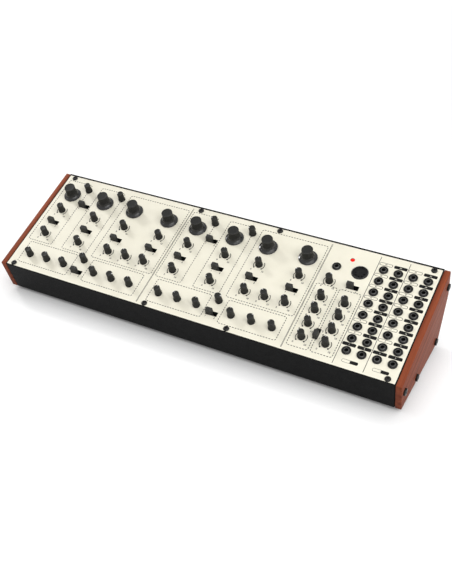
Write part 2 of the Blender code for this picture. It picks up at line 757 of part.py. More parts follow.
def make_main_board():
    """Board with the sound circuits, its headers to the boards above it and the power switch's body."""
    under_boards = BOARD_Z - BOARD_T - GAP
    edge = (MAIN_BOARD_INSET, PANEL_W - MAIN_BOARD_INSET)
    sections = zip((VOICE_PITCH, MASTER_X, JACKS_X), HEADER_OFFSETS)
    headers_x = (FIRST_CHIP_X, *(start + offset for start, offset in sections))
    rear_edge = PANEL_H - MAIN_BOARD_REAR
    well = 2 * (ROCKER_R + 2 * GAP)

    def board(bm):
        add_box(bm, edge, (BOARD_INSET_Y, rear_edge), (MAIN_Z - BOARD_T, MAIN_Z))

    def parts(bm):
        for x in headers_x:
            add_block(bm, (x, HEADER_Y), *HEADER_SIZE, (MAIN_Z - INTO, under_boards))
        for i in range(CHIP_COUNT):
            long, short, height = CHIP_SIZE
            at = (FIRST_CHIP_X + i * CHIP_PITCH, CHIP_Y)
            add_block(bm, at, long, short, (MAIN_Z - INTO, MAIN_Z + height))
        for i in range(CAPACITOR_COUNT):
            at = (FIRST_CHIP_X + i * CAPACITOR_PITCH, CAPACITOR_Y)
            add_rod(bm, at, CAPACITOR_R, (MAIN_Z - INTO, MAIN_Z + CAPACITOR_H))
        # The foot that the power switch's body stands on
        foot = (rear_edge - SWITCH_FOOT_L, rear_edge - GAP)
        add_box(bm, span(POWER_X, POWER_BODY_X - 2 * GAP), foot, (MAIN_Z - INTO, MAIN_Z + INTO))

    def switch_body(bm):
        back = (REAR_Y + SOCKET_PROUD - SOCKET_L, REAR_Y + SOCKET_PROUD)
        add_box(bm, span(POWER_X, POWER_BODY_X), back, span(SOCKET_MIDDLE, SOCKET_H))

    def rocker_well(bm):
        back = (ROCKER_Y - well / 2, REAR_Y + SOCKET_PROUD + INTO)
        add_box(bm, span(POWER_X, ROCKER_L + 2 * GAP), back, span(SOCKET_MIDDLE, well))

    made = solid("main_board", BOARD_GREEN, board)
    combine(made, "UNION", "main_board_parts", parts)
    combine(made, "UNION", "power_switch_body", switch_body)
    combine(made, "DIFFERENCE", "rocker_well", rocker_well)


def make_power_rocker():
    """Rocker of the power switch, turning about its own centre: a round back and a hollowed face."""
    start, rest = ROCKER_CORNER, math.radians(-ROCKER_THROW / 2)
    step = (360 - 2 * start) / ROCKER_ARC_STEPS
    turns = [math.radians(start + i * step) for i in range(ROCKER_ARC_STEPS + 1)]
    outline = [(ROCKER_R, a) for a in turns]
    outline.append((ROCKER_R * math.cos(math.radians(start)) - ROCKER_HOLLOW, 0))
    tipped = [(r * math.cos(a + rest), r * math.sin(a + rest)) for r, a in outline]
    at = (POWER_X, ROCKER_Y, SOCKET_MIDDLE)
    solid("power_rocker", BLACK_PLASTIC, lambda bm: add_prism(bm, tipped, span(0, ROCKER_L)), at=at)


def make_rear_sockets():
    """Supply inlet and USB socket, standing on the main board and reaching through the rear wall."""
    high = span(SOCKET_MIDDLE, SOCKET_H)
    mouth = REAR_Y + SOCKET_PROUD
    deep = (mouth - SOCKET_L, mouth)

    def dc_bore(bm):
        centre = (DC_X, mouth + (INTO - DC_DEPTH) / 2, SOCKET_MIDDLE)
        add_rod_along(bm, "y", centre, DC_BORE_R, DC_DEPTH + INTO, ROUND_SIDES)

    def dc_pin(bm):
        centre = (DC_X, mouth - (INTO + DC_DEPTH) / 2, SOCKET_MIDDLE)
        add_rod_along(bm, "y", centre, DC_PIN_R, DC_DEPTH, HOLE_SIDES)

    def usb_port(bm):
        width, height = USB_PORT
        add_box(bm, span(USB_X, width), (mouth - USB_DEPTH, mouth + INTO), span(SOCKET_MIDDLE, height))

    def usb_tongue(bm):
        width, height = USB_TONGUE
        add_box(bm, span(USB_X, width), (mouth - USB_DEPTH - INTO, mouth - INTO), span(SOCKET_MIDDLE, height))

    inlet = solid("dc_inlet", DARK_SOCKET, lambda bm: add_box(bm, span(DC_X, DC_BODY_X), deep, high))
    combine(inlet, "DIFFERENCE", "dc_bore", dc_bore)
    combine(inlet, "UNION", "dc_pin", dc_pin)
    usb = solid("usb_socket", DARK_SOCKET, lambda bm: add_box(bm, span(USB_X, USB_BODY_X), deep, high))
    combine(usb, "DIFFERENCE", "usb_port", usb_port)
    combine(usb, "UNION", "usb_tongue", usb_tongue)


def make_small_knob(name, at):
    """Shaft and grip in one, from the pot's floor to its chamfered top."""
    profile = [
        (0, SMALL_KNOB_H),
        (SMALL_KNOB_R - SMALL_KNOB_CHAMFER, SMALL_KNOB_H),
        (SMALL_KNOB_R, SMALL_KNOB_H - SMALL_KNOB_CHAMFER),
        (SMALL_KNOB_R, SHAFT_END),
        (0, SHAFT_END),
    ]
    turned(name, profile, BLACK_PLASTIC, KNOB_SIDES, at)


def make_dial(name, at):
    """Large knob: a wide skirt close over the panel, a cone and a narrower grip."""
    lift = 2 * GAP
    profile = [
        (0, DIAL_H),
        (DIAL_TOP_R - DIAL_CHAMFER, DIAL_H),
        (DIAL_TOP_R, DIAL_H - DIAL_CHAMFER),
        (DIAL_GRIP_R, lift + DIAL_SKIRT_T + DIAL_CONE_H),
        (DIAL_SKIRT_R, lift + DIAL_SKIRT_T),
        (DIAL_SKIRT_R, lift),
        (SMALL_KNOB_R, lift),
        (SMALL_KNOB_R, SHAFT_END),
        (0, SHAFT_END),
    ]
    turned(name, profile, BLACK_PLASTIC, DIAL_SIDES, at)


def make_slide_cap(name, at, upright):
    """Cap of a slide switch, resting at the left or lower end of its slot."""
    size = (CAP_W, CAP_L) if upright else (CAP_L, CAP_W)
    back = (0, -TRAVEL / 2) if upright else (-TRAVEL / 2, 0)
    rest = (at[0] + back[0], at[1] + back[1], 0)
    cap = solid(name, BLACK_PLASTIC, lambda bm: add_block(bm, (0, 0), *size, (CAP_END, CAP_H)), at=rest)
    round_edges(cap, CAP_ROUND)


def make_controls():
    for name, kind, at in CONTROLS:
        if not moves(name, kind):
            continue
        if kind == "knob":
            make_small_knob(name, at)
        elif kind == "dial":
            make_dial(name, at)
        else:
            make_slide_cap(name, at, kind == "upright_switch")


make_panel()
make_case()
make_cheek("left_cheek", -2 * GAP, -1)
make_cheek("right_cheek", PANEL_W + 2 * GAP, 1)
make_feet()
make_control_board()
make_jack_board()
make_phones_socket()
make_midi_socket()
make_led()
make_main_board()
make_power_rocker()
make_rear_sockets()
make_controls()
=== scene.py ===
"""Looks of a desktop analog synthesizer module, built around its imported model.

The panel has a frame of its own, in millimetres: x to the right along its front edge, y up its slope, z
out of its face, from the corner at the front left.
"""
import json
import math

import bmesh
import bpy
from mathutils import Matrix, Vector


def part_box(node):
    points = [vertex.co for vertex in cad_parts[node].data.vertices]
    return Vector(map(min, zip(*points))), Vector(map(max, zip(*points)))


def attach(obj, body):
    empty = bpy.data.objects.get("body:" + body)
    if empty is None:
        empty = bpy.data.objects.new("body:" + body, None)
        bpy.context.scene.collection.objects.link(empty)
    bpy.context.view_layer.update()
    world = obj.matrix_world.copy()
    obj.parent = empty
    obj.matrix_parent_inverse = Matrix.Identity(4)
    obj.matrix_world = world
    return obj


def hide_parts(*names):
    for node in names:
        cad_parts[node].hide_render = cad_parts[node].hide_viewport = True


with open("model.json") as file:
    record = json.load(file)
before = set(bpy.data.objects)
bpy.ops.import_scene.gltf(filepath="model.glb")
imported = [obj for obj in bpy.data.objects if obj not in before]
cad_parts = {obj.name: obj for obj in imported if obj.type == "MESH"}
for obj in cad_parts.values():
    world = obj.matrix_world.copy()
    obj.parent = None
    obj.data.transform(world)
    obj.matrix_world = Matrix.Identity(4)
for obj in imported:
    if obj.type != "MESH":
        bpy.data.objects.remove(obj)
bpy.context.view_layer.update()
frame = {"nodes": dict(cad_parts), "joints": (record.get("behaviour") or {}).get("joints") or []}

MM = 0.001
SCENE = bpy.context.scene

# Sizes and places that no joint gives, as in the model
PANEL_W, PANEL_H, PANEL_T = 406.4, 128.5, 2.0
EDGE, GAP, SHEET = 1.3, 0.3, 1.0
REAR_Y = PANEL_H + EDGE
FRONT_FACE, REAR_UPPER, REAR_FOOT_Y = 36.3, 34.0, 104.0
RAIL_W = 7.5
CHEEK_T, CHEEK_ROUND = 5.8, 0.8
UNDER_PANEL = -PANEL_T - GAP
MASTER_X = 301.2
JACKS_X, JACK_PITCH_X, JACK_COLUMNS = 356.5, 13.8, 4
JACK_ROW_1, JACK_PITCH_Y, JACK_ROWS = 17.9, 13.35, 8
PHONES_AT, MIDI_AT, LED_AT = (MASTER_X + 13.5, 102.0), (MASTER_X + 36.1, 102.0), (MASTER_X + 24.6, 114.0)
SCREW_COLUMNS = (7.5, 161.0, 247.5, PANEL_W - 7.5)
SCREW_ROWS = (3.0, PANEL_H - 3.0)
BOARD_Z, BOARD_T, BOARD_EDGE = -12.0, 1.6, 8.5
PIN_Z = (BOARD_Z - BOARD_T - 1.2, BOARD_Z)
POT_TOP, SWITCH_TOP = BOARD_Z + 6.8, BOARD_Z + 7.6
SHAFT_END, CAP_END = BOARD_Z + 2.3, BOARD_Z + 4.3
SLOT_L, SLOT_W = 11.4, 4.7
KNOB_HOLE_R, JACK_HOLE_R, SCREW_HOLE_R, MIDI_HOLE_R, LED_HOLE_R = 3.5, 3.2, 1.6, 7.8, 2.0
JACK_BODY = (9.0, 10.4)
MAIN_Z = -26.0
SOCKET_Z, SOCKET_H, SOCKET_L, SOCKET_PROUD = -20.2, 11.0, 13.6, 0.6
POWER_X, DC_X, USB_X = 60.0, 84.0, 106.0
POWER_W, DC_W, USB_W = 12.0, 9.5, 12.0
ROCKER_Y, ROCKER_R = REAR_Y - 1.8, 4.4

# Hour that each small knob's pointer shows in the photograph: first and second voice
VOICE_HOURS = {
    "oscillator_a_fine": (9, 9), "oscillator_b_fine": (8.5, 8.5), "oscillator_a_mod": (11.5, 9.7),
    "oscillator_b_mod": (11.5, 11.5), "filter_envelope": (13.5, 11.5), "filter_tracking": (14, 10),
    "oscillator_a_width": (11, 8.3), "oscillator_b_width": (14.5, 8.3), "mixer_a": (12.5, 11.5),
    "mixer_b": (11, 10.5), "mixer_noise": (13, 10.5), "glide": (11.5, 14.7),
    "envelope_a_attack": (11.5, 12), "envelope_a_decay": (12, 10), "envelope_a_sustain": (10.5, 12),
    "envelope_b_attack": (11.5, 12), "envelope_b_decay": (14.5, 13), "envelope_b_sustain": (11.5, 9.8),
}
POINTER_HOURS = {
    "volume": 13, "lfo_a_rate": 13, "lfo_a_depth": 10.5, "lfo_a_delay": 12, "noise_color": 9.5,
    "lfo_b_rate": 10.5, "lfo_b_depth": 13, "lfo_b_delay": 12, "voice_balance": 12,
    **{f"voice{i + 1}_{name}": hours[i] for name, hours in VOICE_HOURS.items() for i in (0, 1)},
}


def panel_frame():
    """Matrix from the panel's frame, in metres, to the object's."""
    normal = next(joint["axis"] for joint in frame["joints"] if joint["child"].endswith("_knob"))
    turn = Matrix.Rotation(math.atan2(-normal[1], normal[2]), 4, "X")
    flat = [turn.inverted() @ vertex.co for vertex in frame["nodes"]["front_panel"].data.vertices]
    corner = (min(p.x for p in flat), min(p.y for p in flat), max(p.z for p in flat))
    return turn @ Matrix.Translation(corner)


PANEL = panel_frame()
UNPANEL = PANEL.inverted()
SLOPE = math.atan2(PANEL[2][1], PANEL[1][1])
TILTED = Matrix.Rotation(SLOPE, 4, "X")
LEVEL = Matrix.Identity(4)


def place_of(node):
    """Middle of a node on the panel, in millimetres."""
    points = [UNPANEL @ vertex.co / MM for vertex in frame["nodes"][node].data.vertices]
    return tuple((min(p[i] for p in points) + max(p[i] for p in points)) / 2 for i in (0, 1))


PLACES = {joint["child"]: place_of(joint["child"]) for joint in frame["joints"]}
VOICE_PITCH = PLACES["voice2_filter_cutoff_dial"][0] - PLACES["voice1_filter_cutoff_dial"][0]
TRAVEL = next(joint["range_m"][1] for joint in frame["joints"] if joint["type"] == "slide") / MM
FIXED = {
    name.replace("voice1", "voice2"): (x + VOICE_PITCH, y)
    for name, (x, y) in PLACES.items()
    if name.startswith("voice1") and not name.endswith("_dial")
}
CONTROLS = {**{name: at for name, at in PLACES.items() if name != "power_rocker"}, **FIXED}
KNOBS = {name: at for name, at in CONTROLS.items() if name.endswith("_knob")}
DIALS = {name: at for name, at in CONTROLS.items() if name.endswith("_dial")}
SWITCHES = {name: at for name, at in CONTROLS.items() if name.endswith("_switch")}
UPRIGHT = "lfo_shape_switch"
JACKS = [
    (JACKS_X + i * JACK_PITCH_X, JACK_ROW_1 + j * JACK_PITCH_Y)
    for j in range(JACK_ROWS)
    for i in range(JACK_COLUMNS)
]
SCREWS = [(x, y) for x in SCREW_COLUMNS for y in SCREW_ROWS]


def slot_middle(name):
    """Middle of a switch's slot: its cap rests at the left or lower end."""
    x, y = CONTROLS[name]
    return (x, y + TRAVEL / 2) if name == UPRIGHT else (x + TRAVEL / 2, y)


# Materials

def noise(tree, scale, detail=3.0, stretch=(1, 1, 1)):
    """Noise with so many spots a millimetre, stretched along the panel's axes."""
    where = tree.nodes.new("ShaderNodeTexCoord")
    mapping = tree.nodes.new("ShaderNodeMapping")
    mapping.vector_type = "TEXTURE"
    mapping.inputs["Rotation"].default_value = (SLOPE, 0, 0)
    mapping.inputs["Scale"].default_value = [MM / scale * part for part in stretch]
    made = tree.nodes.new("ShaderNodeTexNoise")
    made.inputs["Scale"].default_value = 1.0
    made.inputs["Detail"].default_value = detail
    tree.links.new(where.outputs["Object"], mapping.inputs["Vector"])
    tree.links.new(mapping.outputs["Vector"], made.inputs["Vector"])
    return made.outputs["Fac"]


def ramp(tree, value, low, high, start=0.35, end=0.65):
    """Spreads a value between start and end over the range from low to high."""
    made = tree.nodes.new("ShaderNodeMapRange")
    for name, number in (("From Min", start), ("From Max", end), ("To Min", low), ("To Max", high)):
        made.inputs[name].default_value = number
    tree.links.new(value, made.inputs["Value"])
    return made.outputs["Result"]


def blended(tree, factor, first, second):
    """Mixes two colours, each a colour or another node's output."""
    made = tree.nodes.new("ShaderNodeMix")
    made.data_type = "RGBA"
    tree.links.new(factor, made.inputs["Factor"])
    for socket, color in ((made.inputs[6], first), (made.inputs[7], second)):
        if isinstance(color, tuple):
            socket.default_value = (*color, 1.0)
        else:
            tree.links.new(color, socket)
    return made.outputs[2]


def bumped(tree, shader, height, depth):
    """Raises the surface by a height map, in millimetres."""
    made = tree.nodes.new("ShaderNodeBump")
    made.inputs["Strength"].default_value = 1.0
    made.inputs["Distance"].default_value = depth * MM
    tree.links.new(height, made.inputs["Height"])
    tree.links.new(made.outputs["Normal"], shader.inputs["Normal"])


def finish(name):
    """New material, with its node tree and its shader."""
    made = bpy.data.materials.new(name)
    made.use_nodes = True
    return made, made.node_tree, made.node_tree.nodes["Principled BSDF"]


def surface(name, dark, light, spots, rough, grain, metallic=0.0, specular=0.5, coat=0.0, glow=0.0):
    """A finish of two close colours in soft spots, with uneven gloss and a fine grain.

    The grain is (spots a mm, depth in mm).
    """
    made, tree, shader = finish(name)
    soft = noise(tree, spots)
    tree.links.new(blended(tree, ramp(tree, soft, 0, 1), dark, light), shader.inputs["Base Color"])
    fine = noise(tree, spots * 6)
    tree.links.new(ramp(tree, fine, *rough), shader.inputs["Roughness"])
    bumped(tree, shader, noise(tree, grain[0], 2.0), grain[1])
    shader.inputs["Metallic"].default_value = metallic
    shader.inputs["Specular IOR Level"].default_value = specular
    shader.inputs["Coat Weight"].default_value = coat
    shader.inputs["Coat Roughness"].default_value = 0.15
    if glow:
        shader.inputs["Emission Color"].default_value = (*light, 1.0)
        shader.inputs["Emission Strength"].default_value = glow
    return made


def wood():
    """Reddish stained wood: long fibres along the panel's slope, broad bands and fine dark pores."""
    made, tree, shader = finish("stained_wood")
    bands = noise(tree, 0.16, 2.0, (1, 40, 1))
    fibres = noise(tree, 1.4, 4.0, (1, 40, 1))
    pores = noise(tree, 4.0, 2.0, (1, 12, 1))
    color = blended(tree, ramp(tree, bands, 0, 1), (0.150, 0.031, 0.012), (0.290, 0.072, 0.031))
    color = blended(tree, ramp(tree, fibres, 0.0, 0.35, 0.45, 0.75), color, (0.13, 0.028, 0.012))
    color = blended(tree, ramp(tree, pores, 0.0, 0.4, 0.62, 0.78), color, (0.07, 0.016, 0.009))
    tree.links.new(color, shader.inputs["Base Color"])
    tree.links.new(ramp(tree, fibres, 0.5, 0.64), shader.inputs["Roughness"])
    bumped(tree, shader, pores, 0.02)
    shader.inputs["Specular IOR Level"].default_value = 0.11
    return made


CREAM = surface("cream_paint", (0.80, 0.765, 0.635), (0.835, 0.80, 0.67), 0.05, (0.42, 0.52), (5.0, 0.008))
INK = surface("dark_ink", (0.008, 0.008, 0.008), (0.013, 0.013, 0.012), 0.4, (0.5, 0.65), (6.0, 0.004),
              specular=0.1)
PALE_INK = surface("pale_ink", (0.42, 0.40, 0.34), (0.52, 0.50, 0.42), 0.4, (0.45, 0.6), (6.0, 0.004))
# Black powder coat of the case; on the panel plate's walls and edge chamfers it is painted shade inside the
# holes.
POWDER_AND_PAINTED_SHADE = surface("black_powder_coat_and_painted_shade", (0.0070, 0.0071, 0.0073), (0.0100, 0.0101, 0.0103), 0.15, (0.5, 0.65),
                 (3.5, 0.015), specular=0.05)
WOOD = wood()
GRIP = surface("satin_black_plastic", (0.022, 0.022, 0.0205), (0.029, 0.029, 0.027), 0.35, (0.34, 0.46),
               (7.0, 0.006), specular=0.09)
SKIRT = surface("glossy_black_plastic", (0.016, 0.016, 0.0158), (0.021, 0.021, 0.0205), 0.35, (0.10, 0.15),
                (4.0, 0.002), specular=0.35)
RIM = surface("polished_rim_plastic", (0.024, 0.024, 0.0225), (0.031, 0.031, 0.029), 0.35, (0.2, 0.28),
              (7.0, 0.004), specular=0.25)
POINTER = surface("pointer_white", (0.68, 0.68, 0.67), (0.78, 0.78, 0.77), 0.6, (0.35, 0.5), (6.0, 0.005))
CAP = surface("slide_cap_plastic", (0.034, 0.034, 0.032), (0.046, 0.046, 0.043), 0.4, (0.38, 0.5),
              (7.0, 0.008), specular=0.12)
BLACK_BODY = surface("moulded_black_body", (0.008, 0.008, 0.008), (0.013, 0.013, 0.013), 0.3, (0.5, 0.65),
                     (4.0, 0.01), specular=0.12)
NUT = surface("black_nickel", (0.010, 0.010, 0.010), (0.017, 0.017, 0.0165), 0.5, (0.24, 0.34), (5.0, 0.004),
              metallic=0.4, specular=0.2)
BUSH = surface("grey_nickel", (0.085, 0.085, 0.082), (0.13, 0.13, 0.125), 0.5, (0.26, 0.36), (5.0, 0.004),
               metallic=0.85)
SCREW_BLACK = surface("black_oxide_screw", (0.012, 0.012, 0.012), (0.022, 0.022, 0.021), 0.6, (0.26, 0.38),
                      (5.0, 0.006), metallic=0.5, specular=0.3)
SILVER = surface("bright_nickel", (0.24, 0.24, 0.236), (0.32, 0.32, 0.313), 0.4, (0.16, 0.26), (5.0, 0.003),
                 metallic=1.0)
RED_LENS = surface("red_lens_glow", (0.72, 0.010, 0.006), (0.86, 0.018, 0.010), 0.8, (0.12, 0.2),
                   (3.0, 0.003), specular=0.2, glow=0.35)
RUBBER = surface("black_rubber", (0.012, 0.012, 0.012), (0.020, 0.020, 0.020), 0.3, (0.7, 0.85), (3.0, 0.03),
                 specular=0.3)
BOARD = surface("green_board", (0.012, 0.085, 0.035), (0.022, 0.125, 0.055), 0.12, (0.3, 0.45), (1.5, 0.02),
                coat=0.3)
GOLD = surface("gold_pins", (0.62, 0.42, 0.12), (0.78, 0.55, 0.20), 0.5, (0.25, 0.35), (5.0, 0.003),
               metallic=1.0)
TIN = surface("tinned_steel", (0.42, 0.42, 0.41), (0.55, 0.55, 0.54), 0.3, (0.3, 0.42), (4.0, 0.005),
              metallic=1.0)


# Drawing tools, in millimetres

def mesh_of(bm, name, *materials, sharp=32, turn=TILTED):
    """Turns a bmesh drawn in millimetres into a smooth mesh in metres, turned like the panel.

    Its edges over so many degrees stay sharp.
    """
    bm.transform(turn @ Matrix.Scale(MM, 4))
    bmesh.ops.recalc_face_normals(bm, faces=bm.faces)
    mesh = bpy.data.meshes.new(name)
    bm.to_mesh(mesh)
    bm.free()
    for material in materials:
        mesh.materials.append(material)
    mesh.shade_smooth()
    mesh.set_sharp_from_angle(angle=math.radians(sharp))
    return mesh


def linked(name, data):
    """Puts a new object with this mesh, light or the like into the scene."""
    made = bpy.data.objects.new(name, data)
    SCENE.collection.objects.link(made)
    return made


def piece(name, mesh, stands_for=(), body="chassis", at=(0, 0, 0), base=PANEL):
    """Places a mesh on the panel, lets it ride on a body and hides the nodes that it stands for."""
    made = linked(name, mesh)
    made.matrix_world = Matrix.Translation(base @ (Vector(at) * MM))
    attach(made, body)
    if stands_for:
        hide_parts(*stands_for)
    return made


def drawn(draw, name, *materials, sharp=32, turn=TILTED):
    """Mesh of the shapes that a function draws."""
    bm = bmesh.new()
    draw(bm)
    return mesh_of(bm, name, *materials, sharp=sharp, turn=turn)


def built(name, draw, materials, node, sharp=32):
    """Draws a fixed piece and lets it stand for a node."""
    return piece(name, drawn(draw, name, *materials, sharp=sharp), [node])


def settle(made, cutters=()):
    """Puts a piece's modifiers into its mesh and removes what cut it."""
    graph = bpy.context.evaluated_depsgraph_get()
    mesh = bpy.data.meshes.new_from_object(made.evaluated_get(graph))
    made.modifiers.clear()
    made.data = mesh
    mesh.shade_smooth()
    mesh.set_sharp_from_angle(angle=math.radians(32))
    for cutter in cutters:
        bpy.data.objects.remove(cutter, do_unlink=True)


def round_edges(made, width):
    """Adds a modifier that rounds a piece's sharp edges by so many millimetres."""
    edges = made.modifiers.new("rounded", "BEVEL")
    edges.width = width * MM
    edges.segments = 4
    edges.limit_method = "ANGLE"


def carve(made, draw):
    """Cuts out of a piece the shapes that a function draws in its frame, and returns the cutter."""
    tool = linked("tool", drawn(draw, "tool"))
    tool.matrix_world = made.matrix_world
    tool.hide_render = True
    change = made.modifiers.new("cut", "BOOLEAN")
    change.operation = "DIFFERENCE"
    change.solver = "EXACT"
    change.object = tool
    return tool


def span(middle, size):
    return (middle - size / 2, middle + size / 2)


def add_box(bm, x, y, z, slot=0, bevel=0.0, segments=2):
    """Adds a box between two values of each axis, with rounded edges if a bevel is given."""
    low, high = Vector((x[0], y[0], z[0])), Vector((x[1], y[1], z[1]))
    size = Matrix.Diagonal((*(high - low), 1))
    made = bmesh.ops.create_cube(bm, size=1, matrix=Matrix.Translation((low + high) / 2) @ size)
    edges = dict.fromkeys(edge for vertex in made["verts"] for edge in vertex.link_edges)
    for vertex in made["verts"]:
        for face in vertex.link_faces:
            face.material_index = slot
    if bevel:
        bmesh.ops.bevel(bm, geom=list(edges), offset=bevel, offset_type="OFFSET", segments=segments,
                        profile=0.5, affect="EDGES", clamp_overlap=True)


def extrude(bm, outline, way, slot=0):
    """Adds the solid that a flat outline of points sweeps along a vector."""
    section = bm.faces.new([bm.verts.new(point) for point in outline])
    section.material_index = slot
    grown = bmesh.ops.extrude_face_region(bm, geom=[section])
    moved = [item for item in grown["geom"] if isinstance(item, bmesh.types.BMVert)]
    bmesh.ops.translate(bm, vec=way, verts=moved)


def add_prism(bm, outline, x):
    """Adds a solid along x whose section is an outline of (y, z) points."""
    extrude(bm, [(x[0], y, z) for y, z in outline], (x[1] - x[0], 0, 0))


def soften(corners, steps=4, closed=False):
    """Rounds the corners of a line. Each corner is (x, y, fillet, tag), and the points made keep its tag."""
    found = []
    last = len(corners) - 1
    for i, (x, y, fillet, tag) in enumerate(corners):
        if not fillet or (not closed and i in (0, last)):
            found.append((x, y, tag))
            continue
        here = Vector((x, y))
        back = Vector(corners[i - 1][:2]) - here
        ahead = Vector(corners[(i + 1) % len(corners)][:2]) - here
        half = back.angle(ahead) / 2
        reach = min(fillet / math.tan(half), 0.49 * back.length, 0.49 * ahead.length)
        radius = reach * math.tan(half)
        middle = here + (back.normalized() + ahead.normalized()).normalized() * radius / math.sin(half)
        start = here + back.normalized() * reach - middle
        end = here + ahead.normalized() * reach - middle
        for step in range(steps + 1):
            point = middle + start.slerp(end, step / steps).normalized() * radius
            found.append((point.x, point.y, tag))
    return found


def polar(at, radius, turn):
    """Point at a distance from another, in a direction given in radians."""
    return (at[0] + radius * math.cos(turn), at[1] + radius * math.sin(turn))


def revolve(bm, profile, sides, at=(0, 0), flute=None):
    """Turns a profile of (radius, z, slot) points round an axis square to the panel.

    Each point's slot is that of the band from it to the next. A profile that starts off the axis closes on
    itself. A flute is (count, depth, low z, high z): grooves cut into the radius between those heights.
    """
    turns = [math.tau * i / sides for i in range(sides)]

    def reach(radius, z, angle):
        if flute and flute[2] <= z <= flute[3]:
            return radius - flute[1] * (0.5 - 0.5 * math.cos(flute[0] * angle)) ** 3
        return radius

    rings = []
    for radius, z, _ in profile:
        if radius == 0:
            rings.append([bm.verts.new((at[0], at[1], z))] * sides)
            continue
        rings.append([bm.verts.new((*polar(at, reach(radius, z, turn), turn), z)) for turn in turns])
    pairs = list(zip(rings, rings[1:]))
    if profile[0][0]:
        pairs.append((rings[-1], rings[0]))
    for (upper, lower), (_, _, slot) in zip(pairs, profile):
        for i in range(sides):
            corners = dict.fromkeys((upper[i - 1], upper[i], lower[i], lower[i - 1]))
            if len(corners) > 2:
                bm.faces.new(list(corners)).material_index = slot


def circle(at, radius, sides=40):
    return [polar(at, radius, math.tau * i / sides) for i in range(sides)]


def rounded_box(at, size_x, size_y, radius, steps=5):
    """Outline of a rectangle with round corners, centred on a point."""
    corners = [(at[0] + i * size_x / 2, at[1] + j * size_y / 2, radius, 0)
               for i, j in ((-1, -1), (1, -1), (1, 1), (-1, 1))]
    return [(x, y) for x, y, _ in soften(corners, steps, closed=True)]


def add_plate(bm, outer, holes, z):
    """Adds a flat plate with holes between two values of z, all its edges chamfered and its walls in slot 1.

    The outlines are functions that give their points when grown by so many millimetres.
    """
    high, low = z
    chamfer = 0.15
    ends = ([], [])
    for outline, sign in [(outer, -1), *((hole, 1) for hole in holes)]:
        levels = ((sign * chamfer, high), (0, high - chamfer), (0, low + chamfer), (sign * chamfer, low))
        rings = [[bm.verts.new((x, y, level)) for x, y in outline(grow)] for grow, level in levels]
        for upper, lower in zip(rings, rings[1:]):
            for i in range(len(upper)):
                bm.faces.new((upper[i - 1], upper[i], lower[i], lower[i - 1])).material_index = 1
        for edges, ring in zip(ends, (rings[0], rings[-1])):
            edges.extend(bm.edges.get((ring[i - 1], ring[i])) for i in range(len(ring)))
    for edges in ends:
        bmesh.ops.triangle_fill(bm, use_beauty=True, use_dissolve=False, edges=edges)


PRINT_Z = (-0.02, 0.03)


def add_stroke(bm, path, width, closed=False):
    """Adds a thin raised line along a path of (x, y) points."""
    points = [Vector(point) for point in path]
    count = len(points)
    rows = []
    for i, point in enumerate(points):
        ways = []
        if closed or i > 0:
            ways.append((point - points[i - 1]).normalized())
        if closed or i < count - 1:
            ways.append((points[(i + 1) % count] - point).normalized())
        way = sum(ways, Vector((0, 0))).normalized()
        side = Vector((-way.y, way.x)) * width / 2 / max(0.5, way.dot(ways[0]))
        rows.append([bm.verts.new((*(point + side * sign), level)) for sign in (1, -1) for level in PRINT_Z])
    for a, b in zip(rows, rows[1:] + rows[:1] if closed else rows[1:]):
        for quad in ((a[1], a[3], b[3], b[1]), (a[0], b[0], b[2], a[2]), (a[0], a[1], b[1], b[0]),
                     (a[2], b[2], b[3], a[3])):
            bm.faces.new(quad)
    if not closed:
        for row in (rows[0], rows[-1]):
            bm.faces.new((row[0], row[1], row[3], row[2]))


def add_dashes(bm, path, width, dash, pitch):
    """Adds dashes along a closed path."""
    points = [Vector(point) for point in (*path, path[0])]
    reached = [0.0]
    for a, b in zip(points, points[1:]):
        reached.append(reached[-1] + (b - a).length)
    count = round(reached[-1] / pitch)

    def at(length):
        i = max(k for k in range(len(points) - 1) if reached[k] <= length)
        return points[i].lerp(points[i + 1], (length - reached[i]) / (reached[i + 1] - reached[i]))

    for i in range(count):
        start = i * reached[-1] / count
        end = start + dash
        middle = [point for point, length in zip(points, reached) if start + 0.05 < length < end - 0.05]
        add_stroke(bm, [at(start), *middle, at(min(end, reached[-1]))], width)


def add_pill(bm, at, size_x, size_y, radius):
    """Adds a thin filled bar with round corners."""
    outline = rounded_box(at, size_x, size_y, radius, 6)
    extrude(bm, [(x, y, PRINT_Z[0]) for x, y in outline], (0, 0, PRINT_Z[1] - PRINT_Z[0]))


NUMBERS = {}


def number(text, size):
    """Thin raised mesh of a number, centred, drawn in millimetres."""
    if (text, size) not in NUMBERS:
        curve = bpy.data.curves.new("number", "FONT")
        curve.body = text
        curve.size = size
        curve.align_x = "CENTER"
        curve.align_y = "CENTER"
        curve.resolution_u = 3
        curve.offset = 0.025 * size
        curve.extrude = 0.025
        holder = linked("number", curve)
        graph = bpy.context.evaluated_depsgraph_get()
        NUMBERS[text, size] = bpy.data.meshes.new_from_object(holder.evaluated_get(graph))
        bpy.data.objects.remove(holder, do_unlink=True)
    return NUMBERS[text, size]


def add_number(bm, text, size, at, z=0.005):
    copy = number(text, size).copy()
    copy.transform(Matrix.Translation((*at, z)))
    bm.from_mesh(copy)
    bpy.data.meshes.remove(copy)


def make_board(name, x, y, top, node):
    """Makes a circuit board whose upper face is at some height."""
    built(name, lambda bm: add_box(bm, x, y, (top - BOARD_T, top), bevel=0.2), (BOARD,), node)


# Panel

